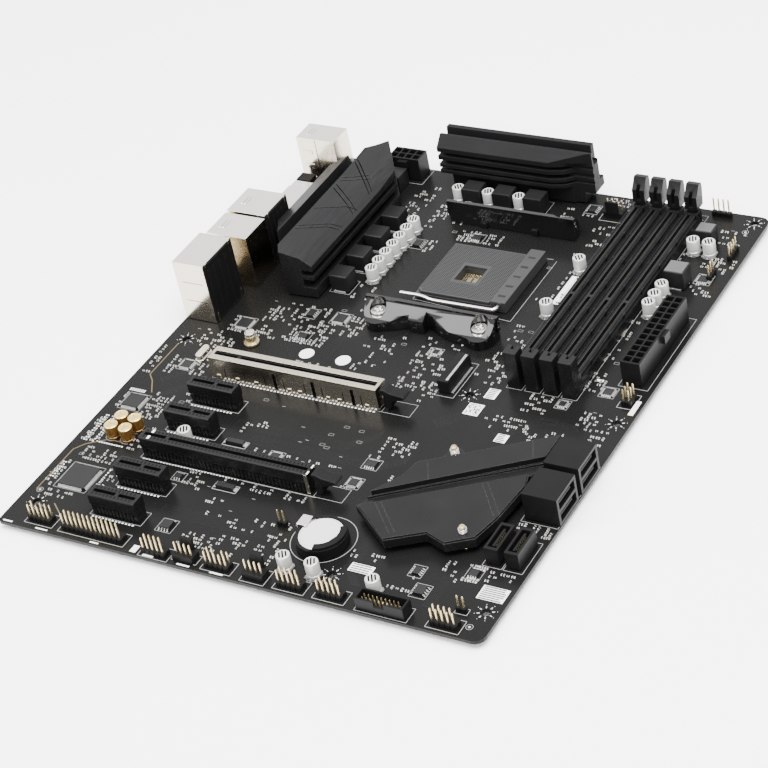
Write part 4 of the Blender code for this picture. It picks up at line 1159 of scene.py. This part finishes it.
def contact_rows():
    """The spring contacts inside the memory and expansion slots, and their tails."""
    contacts = Build()
    for x in DIMM_X:
        for start, stop in ((156.2, 212.8), (215.8, 285.6)):
            steps = int((stop - start) / 0.85)
            for i in range(steps):
                y = start + 0.85 * i
                for side in (-1, 1):
                    contacts.box(x + side * 0.86, x + side * 0.52, y - 0.2, y + 0.2, 3.0, 6.4, "contact")
                    if i % 2 == (0 if side > 0 else 1):
                        solder(x + side * 1.3, y, 0.45)
        for y in (153.4, 214.3, 290.0):
            solder(x, y, 0.8)
    for n, y in enumerate(SLOT_Y):
        end = X16_END if n in (PLAIN_LONG, ARMOURED) else X1_END
        for start, stop in ((42.6, 53.0), (56.2, end - 2.0)):
            for i in range(int((stop - start) / 1.0) + 1):
                x = start + i
                for side in (-1, 1):
                    contacts.box(x - 0.24, x + 0.24, y + side * 0.9, y + side * 0.55, 4.0, 9.2, "contact")
                    solder(x, y + side * (1.3 if i % 2 else 2.6), 0.42)
        solder(41.8, y, 0.8)
        solder(54.4, y, 0.8)
    contacts.finish("slot_contacts")


def slot_details():
    """Ribs, contact cells as painted shade, end marks and edge lines as painted highlights on the expansion
    and memory slots.
    """
    ribs = Build()
    for n, y in enumerate(SLOT_Y):
        if n == ARMOURED:
            continue
        end = X16_END if n == PLAIN_LONG else X1_END
        x = SLOT_X0 + 1.6
        while x < end - 1.4:
            for side in (-1, 1):
                ribs.box(x, x + 0.9, y + side * 3.0, y + side * 3.4, 0.4, 4.4, "slot")
            for side in (-1, 1):
                # Painted shade: dark cells on the slot's top, where its contact openings are.
                ribs.box(x + 0.2, x + 0.72, y + side * 1.35, y + side * 2.75, 11.2, 11.3, "hole")
            x += 2.0
    y = SLOT_Y[PLAIN_LONG]
    for side in (-1, 1):
        near, far = y + side * 1.1, y + side * 3.2
        ribs.box(SLOT_X0 + 4.3, SLOT_X0 + 5.5, near, far, 11.2, 11.33, "label")
        ribs.box(X16_END - 0.4, X16_END + 0.3, near, far, 11.1, 11.3, "label")
    ribs.box(X16_END - 1.6, X16_END + 0.2, y - 3.78, y - 3.7, 0.5, 10.9, "port")
    for x in DIMM_X:
        y = 157.0
        while y < 286:
            # Painted shade: dark cells on the memory slot's top, where its contact openings are.
            for side in (-1, 1):
                ribs.box(x + side * 1.15, x + side * 2.15, y, y + 0.45, 8.46, 8.56, "hole")
            y += 1.7
        # Painted highlight: thin lighter lines along the rail edges.
        for edge in (-3.1, -1.05, 1.05, 3.1):
            ribs.box(x + edge - 0.08, x + edge + 0.08, 156.6, 286.0, 8.46, 8.57, "edge")
        for side in (-1, 1):
            for y in (170, 190, 205, 225, 245, 265):
                ribs.box(x + side * 2.6, x + side * 3.1, y, y + 0.8, 5.5, 8.5, "slot")
    ribs.finish("slot_ribs")


def build_power_pins():
    pins = Build()
    for node, across, along in (("atx_power_24pin", 2, 12), ("cpu_power_8pin", 4, 2)):
        x0, x1, y0, y1, _, _ = place_of(node)
        if node == "atx_power_24pin":
            x1 = x0 + 9.6
        else:
            y0 = y1 - 9.6
        first_x = (x0 + x1) / 2 - (across - 1) * 2.1
        first_y = (y0 + y1) / 2 - (along - 1) * 2.1
        for i in range(across):
            for j in range(along):
                x, y = first_x + 4.2 * i, first_y + 4.2 * j
                pins.lathe(x, y, [(0.7, 2.5), (0.7, 9.6), (0.45, 10.2)], "tin", 12)
                solder(x, y, 0.95)
    x0, x1, y0, y1, _, _ = place_of("usb3_header")
    for i in range(10):
        for row in (0, 1):
            if row and i == 9:
                continue
            x, y = x0 + 2.4 + 2.0 * i, (y0 + y1) / 2 - 1.0 + 2.0 * row
            pin(pins, x, y, 1.5, 5.4, half=0.25)
            solder(x, y, 0.5)
    for node in ("sata_stack_lower", "sata_stack_upper"):
        x0, x1, y0, y1, _, _ = place_of(node)
        for low in (1.7, 8.1):
            for i in range(7):
                y = (y0 + y1) / 2 - 3.81 + 1.27 * i
                pins.box(x1 - 6.0, x1 - 1.4, y - 0.28, y + 0.28, low + 2.68, low + 2.78, "gold")
        for i in range(14):
            solder(x0 + 1.6 + 1.9 * (i % 2), (y0 + y1) / 2 - 8.2 + 1.27 * i, 0.5)
    for node in ("sata_upright_1", "sata_upright_2"):
        x0, x1, y0, y1, _, _ = place_of(node)
        for i in range(7):
            y = (y0 + y1) / 2 - 3.81 + 1.27 * i
            pins.box(x0 + 3.66, x0 + 3.78, y - 0.28, y + 0.28, 3.4, 7.6, "gold")
            solder((x0 + x1) / 2 + (0.7 if i % 2 else -0.7), y, 0.5)
    x0, x1, y0, y1, _, top = place_of("m2_connector")
    for i in range(34):
        y = y0 + 1.6 + 0.58 * i
        pins.box(x0 + 1.6, x0 + 3.6, y - 0.14, y + 0.14, 3.95, 4.1, "gold")
        pins.box(x1 - 0.1, x1 + 1.1, y - 0.14, y + 0.14, 0.05, 0.22, "tin")
        pins.box(x1 - 1.7, x1 - 0.5, y - 0.16, y + 0.16, top - 0.02, top + 0.1, "tin")
    pins.finish("connector_pins")


def build_socket_grid():
    """The processor socket's pin holes as dark discs of painted shade, the pads in its window and the row of
    ribs on its bar.
    """
    grid = Build()
    top = place_of("cpu_socket_cover")[5]
    for i in range(39):
        for j in range(39):
            x, y = CPU_X - 19 + i + 0.3, CPU_Y - 19 + j
            if abs(x - CPU_X - 0.3) < 8.0 and abs(y - CPU_Y + 1.5) < 8.0:
                continue
            if (i in (0, 38) and j in (0, 38)) or (i < 2 and j < 2):
                continue
            # Painted shade: a dark disc where each pin hole is.
            grid.prism(circle(x, y, 0.31, 6), top - 0.02, top + 0.012, "hole")
    grid.finish("socket_holes", body="socket_cover")
    window = Build()
    window.box(CPU_X - 5.7, CPU_X + 6.3, CPU_Y - 7.5, CPU_Y + 4.5, 0.02, 0.1, "board")
    for i in range(10):
        for j in range(10):
            x, y = CPU_X - 5.1 + 1.2 * i, CPU_Y - 6.9 + 1.2 * j
            if 3 <= i <= 6 and 3 <= j <= 6:
                continue
            window.box(x - 0.38, x + 0.38, y - 0.38, y + 0.38, 0.1, 0.22, "gold")
    for x in (CPU_X - 1.2, CPU_X + 1.8):
        window.box(x - 1.1, x + 1.1, CPU_Y - 3.2, CPU_Y + 0.2, 0.1, 0.9, "ceramic", inset=0.1)
    draw = random.Random(9)
    for y in (206.0, 214.0, 222.0, 230.0, 238.0):
        half = draw.uniform(1.6, 2.3)
        window.box(146.2, 152.4, y - half, y + half, 5.86, 6.0, "socket", inset=0.1)
        window.box(147.4, 151.2, y - half * 0.4, y + half * 0.4, 5.98, 6.08, "chip")
    window.finish("socket_details", slot="socket_plastic")


# ---------------------------------------------------------------- rear ports


def build_port_details():
    """What shows on the rear ports: folded seams, spring tabs, black backs, contacts, jack rings, and painted
    shade in their gaps and holes.
    """
    shells, blacks, inner = Build(), Build(), Build()
    for node in ("lan_usb_stack", "hdmi_usb_stack", "ps2_usb_stack"):
        x0, x1, y0, y1, _, top = place_of(node)
        middle = (y0 + y1) / 2
        shells.line([(x0 + 9.0, y0 + 0.4), (x0 + 9.0, y1 - 0.4)], 0.25, top - 0.02, top + 0.05, "port")
        for x in (x0 + 4.0, x0 + 5.9):
            shells.box(x, x + 1.1, middle - 3.4, middle + 3.4, top - 0.02, top + 0.32, "port", inset=0.25)
        for side, y in ((-1, y0), (1, y1)):
            for z in (5.0, 12.4, 20.6):
                shells.box(x0 + 3.0, x0 + 8.2, y, y + side * 0.3, z, z + 2.2, "port")
            # Painted shade: a dark line in the seam on each side of the shell.
            shells.box(x0 + 11.0, x0 + 11.3, y, y + side * 0.12, 0.6, top - 0.4, "hole")
        for x in (x0 + 2.6, x1 - 2.6):
            for y in (y0 + 0.6, y1 - 0.6):
                solder(x, y, 1.0)
        for i in range(4):
            for row in range(4):
                solder(x0 + 10.0 + 2.0 * row, middle - 3.4 + 2.25 * i, 0.5)
    for node, bottom in (("hdmi_usb_stack", 1.2), ("audio_jack_block", 1.2)):
        x0, x1, y0, y1, _, top = place_of(node)
        blacks.box(x1 - 0.02, x1 + 0.35, y0 + 0.5, y1 - 0.5, bottom, top - 0.8, "plastic")
        for y in (y0 + 2.2, y1 - 2.8):
            shells.box(x1 + 0.1, x1 + 0.55, y - 0.4, y + 1.0, 0.4, 5.0, "port")
            shells.box(x1 - 0.2, x1 + 0.5, y - 0.2, y + 0.8, top - 3.0, top - 0.02, "port")
        for i in range(5):
            y = y0 + 3.0 + i * (y1 - y0 - 6.0) / 4
            blacks.box(x1 + 0.3, x1 + 0.6, y - 0.25, y + 0.25, bottom, top - 4.0, "plastic")
    _, x1, y0, y1, _, _ = place_of("ps2_usb_stack")
    # Painted shade: a near-black patch on the back of the PS/2 stack.
    blacks.box(x1 - 0.02, x1 + 0.2, y0 + 1.6, y1 - 1.6, 0.8, 8.0, "hole")
    _, _, y0, y1, _, _ = place_of("audio_jack_block")
    for y in (y0 + 6.4, y1 - 6.4):
        for z in (6.4, 16.9, 27.4):
            radius_in, radius_out = 1.85, 3.3
            rings = []
            for k in range(25):
                t = 2 * math.pi * k / 24
                c, s = math.cos(t), math.sin(t)
                corners = ((-1.5, radius_in), (-1.5, radius_out), (-1.1, radius_out), (-1.1, radius_in))
                rings.append([(x, y + radius * c, z + radius * s) for x, radius in corners])
            inner.rings(rings, "gold" if z > 20 else "port", closed=False)
    for i in range(15):
        solder(4.0 + 2.6 * (i // 3), 160.4 + 8.0 * (i % 3), 0.6)
    # Painted shade: dark lines in the gaps between the jack tiers.
    for z in (11.6, 22.2):
        shells.box(4.0, 16.0, y0 - 0.12, y0 + 0.05, z, z + 0.22, "hole")
        shells.box(4.0, 16.0, y1 - 0.05, y1 + 0.12, z, z + 0.22, "hole")
    for node, lows in (
        ("lan_usb_stack", (1.8, 9.0)), ("hdmi_usb_stack", (2.0, 10.4)), ("ps2_usb_stack", (1.8, 8.9)),
    ):
        x0, _, y0, y1, _, _ = place_of(node)
        middle = (y0 + y1) / 2
        for low in lows:
            inner.box(x0 + 0.9, x0 + 9.4, middle - 5.5, middle + 5.5, low + 4.15, low + 4.28, "blue")
            inner.box(x0 + 0.88, x0 + 1.02, middle - 5.4, middle + 5.4, low + 2.6, low + 4.2, "blue")
            for i in range(4):
                y = middle - 3.75 + 2.5 * i
                inner.box(x0 + 1.2, x0 + 8.6, y - 0.5, y + 0.5, low + 2.48, low + 2.62, "gold")
    x0, _, y0, y1, _, _ = place_of("lan_usb_stack")
    middle = (y0 + y1) / 2
    for i in range(8):
        y = middle - 3.57 + 1.02 * i
        inner.box(x0 + 2.0, x0 + 12.8, y - 0.2, y + 0.2, 23.4, 23.6, "gold")
    for side in (-1, 1):
        y = middle + side * 7.2
        inner.box(x0 - 0.12, x0 + 0.5, y - 0.9, y + 0.9, 25.6, 27.2, "lamp")
    x0, _, y0, y1, _, top = place_of("dvi_port")
    middle = (y0 + y1) / 2
    # Painted shade: dark squares where the DVI pin holes and key slot are.
    for row in range(3):
        for i in range(8):
            y, z = middle - 9.0 + 1.9 * i, 3.6 + 1.9 * row
            inner.box(x0 + 0.72, x0 + 0.86, y - 0.45, y + 0.45, z - 0.45, z + 0.45, "hole")
    inner.box(x0 + 0.72, x0 + 0.86, middle + 7.2, middle + 10.0, 5.3, 5.8, "hole")
    for y in (y0 + 2.4, y1 - 2.4):
        shells.box(x0 + 4.0, x0 + 9.0, y - 1.6, y + 1.6, top - 0.02, top + 0.25, "port", inset=0.2)
        solder(x0 + 6.0, y, 1.3)
    for i in range(24):
        solder(x0 + 9.0 + 1.9 * (i // 8), middle - 8.0 + 2.2 * (i % 8), 0.5)
    shells.finish("port_details", bevel=0.06, segments=1, slot="port_shell")
    blacks.finish("port_backs", slot="connector_plastic")
    inner.finish("port_contacts", slot="plated_brass")


def build_small_fittings():
    """The battery's rolled rim and the bracket screws' washers."""
    steel = Build()
    x0, x1, y0, y1, _, top = place_of("battery_cell")
    x, y = (x0 + x1) / 2, (y0 + y1) / 2
    steel.ring(x, y, 8.9, 9.15, top - 0.02, top + 0.05, "steel", 48)
    for n in range(1, 5):
        a0, a1, b0, b1, _, _ = place_of(f"bracket_screw_{n}")
        px, py = (a0 + a1) / 2, (b0 + b1) / 2
        steel.ring(px, py, 1.8, 4.15, 5.82, 6.08, "steel", 32)
    steel.finish("small_fittings", slot="bright_steel")


def build_spring_pins():
    """The chipset heatsink's two push pins: a shaft with a barb, a coil spring round it and a cap."""
    for node, base in (("chipset_pin_1", 7.3), ("chipset_pin_2", 8.4)):
        a0, a1, b0, b1, low, high = place_of(node)
        x, y = (a0 + a1) / 2, (b0 + b1) / 2
        pin_piece = Build()
        barb = [(0.5, low), (1.25, low + 0.9), (1.3, low + 1.3), (0.95, low + 1.9)]
        cap = [(1.35, high - 1.15), (1.4, high - 0.4), (1.0, high), (0.4, high)]
        pin_piece.lathe(x, y, barb + [(0.9, base), (0.9, high - 1.2)] + cap, "gold", 24)
        route = []
        for k in range(81):
            turn = 2 * math.pi * k / 16
            z = base + (high - 1.5 - base) * k / 80
            route.append((x + 1.75 * math.cos(turn), y + 1.75 * math.sin(turn), z))
        pin_piece.tube(route, 0.24, "steel", 6)
        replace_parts(pin_piece.finish(node + "_fine", body=BODY_OF[node], slot="plated_brass"), node)


def build_armour_details():
    """The armour's folded solder tabs, the slits in its front side as strips of painted shade, and the fold
    lines on top.
    """
    tabs = Build()
    x0, x1, y0, y1, _, top = place_of("pcie_x16_armour")
    for x in (44.0, 54.4, 64.8, 83.0, 88.8, 104.0, 110.0, 124.6):
        for side, y in ((-1, y0), (1, y1)):
            tabs.box(x - 1.0, x + 1.0, y - side * 0.1, y + side * 0.35, 0.05, 2.6, "armour", inset=0.1)
            solder(x, y, 0.9)
    # Painted shade: a dark strip for each slit in the front side.
    for x in (48.0, 58.6, 70.0, 80.4, 91.8, 101.2, 112.4, 122.0):
        tabs.box(x - 0.18, x + 0.18, y0 - 0.05, y0 + 0.12, 0.6, 7.0, "hole")
    tabs.line([(x0 + 1.0, y0 + 1.1), (x1 - 1.0, y0 + 1.1)], 0.16, top - 0.02, top + 0.05, "armour")
    tabs.line([(x0 + 1.0, y1 - 1.1), (x1 - 1.0, y1 - 1.1)], 0.16, top - 0.02, top + 0.05, "armour")
    tabs.finish("armour_tabs", slot="bright_steel")


def build_underside():
    """Small parts and printed lines on the underside, and the backplate's washers and ribs."""
    under = Build()
    draw = random.Random(77)
    for _ in range(420):
        x, y = draw.uniform(8, 236), draw.uniform(8, 296)
        if 88 < x < 162 and 168 < y < 275:
            continue
        if any(math.hypot(x - a, y - b) < 7 for a, b in HOLES):
            continue
        wide, deep = (1.5, 0.8) if draw.random() < 0.5 else (0.8, 1.5)
        flat = wide > deep
        look = "ceramic" if draw.random() < 0.5 else "resistor"
        under.box(x - wide / 2, x + wide / 2, y - deep / 2, y + deep / 2, UNDER - 0.42, UNDER - 0.02, look)
        for side in (-1, 1):
            cx, cy = (x + side * 0.75, y) if flat else (x, y + side * 0.75)
            under.box(cx - 0.42, cx + 0.42, cy - 0.42, cy + 0.42, UNDER - 0.45, UNDER, "tin")
    under.finish("underside_parts", slot="chip_package")
    lines = Build()
    for n, y in enumerate(SLOT_Y):
        end = X16_END + 1.6 if n in (PLAIN_LONG, ARMOURED) else X1_END + 1.4
        for route in ([(SLOT_X0 - 1, y - 4.6), (end, y - 4.6)], [(SLOT_X0 - 1, y + 4.6), (end, y + 4.6)]):
            lines.line(route, 0.22, UNDER - INK_TOP, UNDER, "white")
    for x in DIMM_X[:1] + DIMM_X[-1:]:
        lines.line([(x - 4.2, 150), (x - 4.2, 297)], 0.22, UNDER - INK_TOP, UNDER, "white")
    lines.finish("underside_print", slot="bright_steel")
    plate = Build()
    x0, x1, y0, y1, low, _ = place_of("cpu_backplate")
    for x in (x0 + 5.5, x1 - 5.5):
        for y in (y0 + 5.5, y1 - 5.5):
            plate.ring(x, y, 2.2, 4.6, low - 0.25, low + 0.02, "steel", 32)
    for x in (CPU_X - 20, CPU_X + 20):
        plate.box(x - 1.4, x + 1.4, CPU_Y - 34, CPU_Y + 34, low - 0.4, low + 0.02, "backplate", inset=0.25)
    for y in (CPU_Y - 36, CPU_Y + 36):
        plate.box(CPU_X - 16, CPU_X + 16, y - 1.4, y + 1.4, low - 0.4, low + 0.02, "backplate", inset=0.25)
    plate.finish("backplate_ribs", slot="backplate_steel")


# Where nothing small may stand: x0, x1, y0, y1 of each tall piece on the board.
FOOTPRINTS = []


def note_footprints():
    for node in frame["nodes"]:
        if node not in ("pcb", "cpu_backplate", "cpu_socket_lever"):
            x0, x1, y0, y1, _, _ = place_of(node)
            FOOTPRINTS.append((x0, x1, y0, y1))
    FOOTPRINTS.extend((x - 3.8, x + 3.8, y - 3.8, y + 3.8) for x, y in POLYMER_CAPS)
    FOOTPRINTS.extend((x - 4.0, x + 4.0, y - 4.0, y + 4.0) for x, y in AUDIO_CAPS)
    FOOTPRINTS.extend((x - 4.5, x + 4.5, y - 4.5, y + 4.5) for x, y in HOLES)
    FOOTPRINTS.extend(HEADER_BOXES)
    FOOTPRINTS.extend((c[0] - c[2] / 2, c[0] + c[2] / 2, c[1] - c[3] / 2, c[1] + c[3] / 2) for c in CHIPS)
    FOOTPRINTS.extend(LABELS)
    FOOTPRINTS.extend(WHITE_PATCHES)
    FOOTPRINTS.extend([(88.0, 134.0, 278.0, 292.0), (41.0, 53.0, 280.0, 291.0)])


# ---------------------------------------------------------------- stage


# Name, place in metres from the frame's origin, width in metres, watts.
LIGHTS = (
    ("top", (0.25, -0.1, 1.45), 1.3, 120.0),
    ("left", (-0.72, -0.7, 1.12), 0.6, 12.0),
    ("front", (0.6, -1.3, 0.75), 0.9, 14.0),
)
WORLD_STRENGTH = 2.0
FLOOR_REACH = 4.0
FLOOR_GAP = 0.0002  # a floor that touches the backplate's ribs flickers through them


def add_stage():
    low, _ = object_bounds()
    mesh = bpy.data.meshes.new("floor")
    outline = rectangle(-FLOOR_REACH, FLOOR_REACH, -FLOOR_REACH, FLOOR_REACH)
    corners = [(x, y, low.z - FLOOR_GAP) for x, y in outline]
    mesh.from_pydata(corners, [], [(0, 1, 2, 3)])
    floor = bpy.data.objects.new("floor", mesh)
    pale = bpy.data.materials.new("floor_white")
    pale.use_nodes = True
    shader = pale.node_tree.nodes["Principled BSDF"]
    shader.inputs["Base Color"].default_value = (0.93, 0.93, 0.93, 1.0)
    shader.inputs["Roughness"].default_value = 0.9
    mesh.materials.append(pale)
    show(floor)
    world = bpy.data.worlds.new("studio")
    world.use_nodes = True
    world.node_tree.nodes["Background"].inputs["Color"].default_value = (1.0, 1.0, 1.0, 1.0)
    world.node_tree.nodes["Background"].inputs["Strength"].default_value = WORLD_STRENGTH
    bpy.context.scene.world = world
    for name, place, size, power in LIGHTS:
        light = bpy.data.lights.new(name, "AREA")
        light.size = size
        light.energy = power
        lamp = bpy.data.objects.new(name, light)
        lamp.location = place
        lamp.rotation_mode = "QUATERNION"
        lamp.rotation_quaternion = (Vector(place) * -1).to_track_quat("-Z", "Y")
        show(lamp)


note_footprints()
dress_frame()
build_silkscreen()
build_board_marks()
build_traces()
build_polymer_caps()
build_top_chokes()
build_chips()
build_headers()
contact_rows()
slot_details()
build_power_pins()
build_socket_grid()
build_port_details()
build_small_fittings()
build_spring_pins()
build_armour_details()
build_solder_joints()
build_underside()
add_camera()
add_stage()
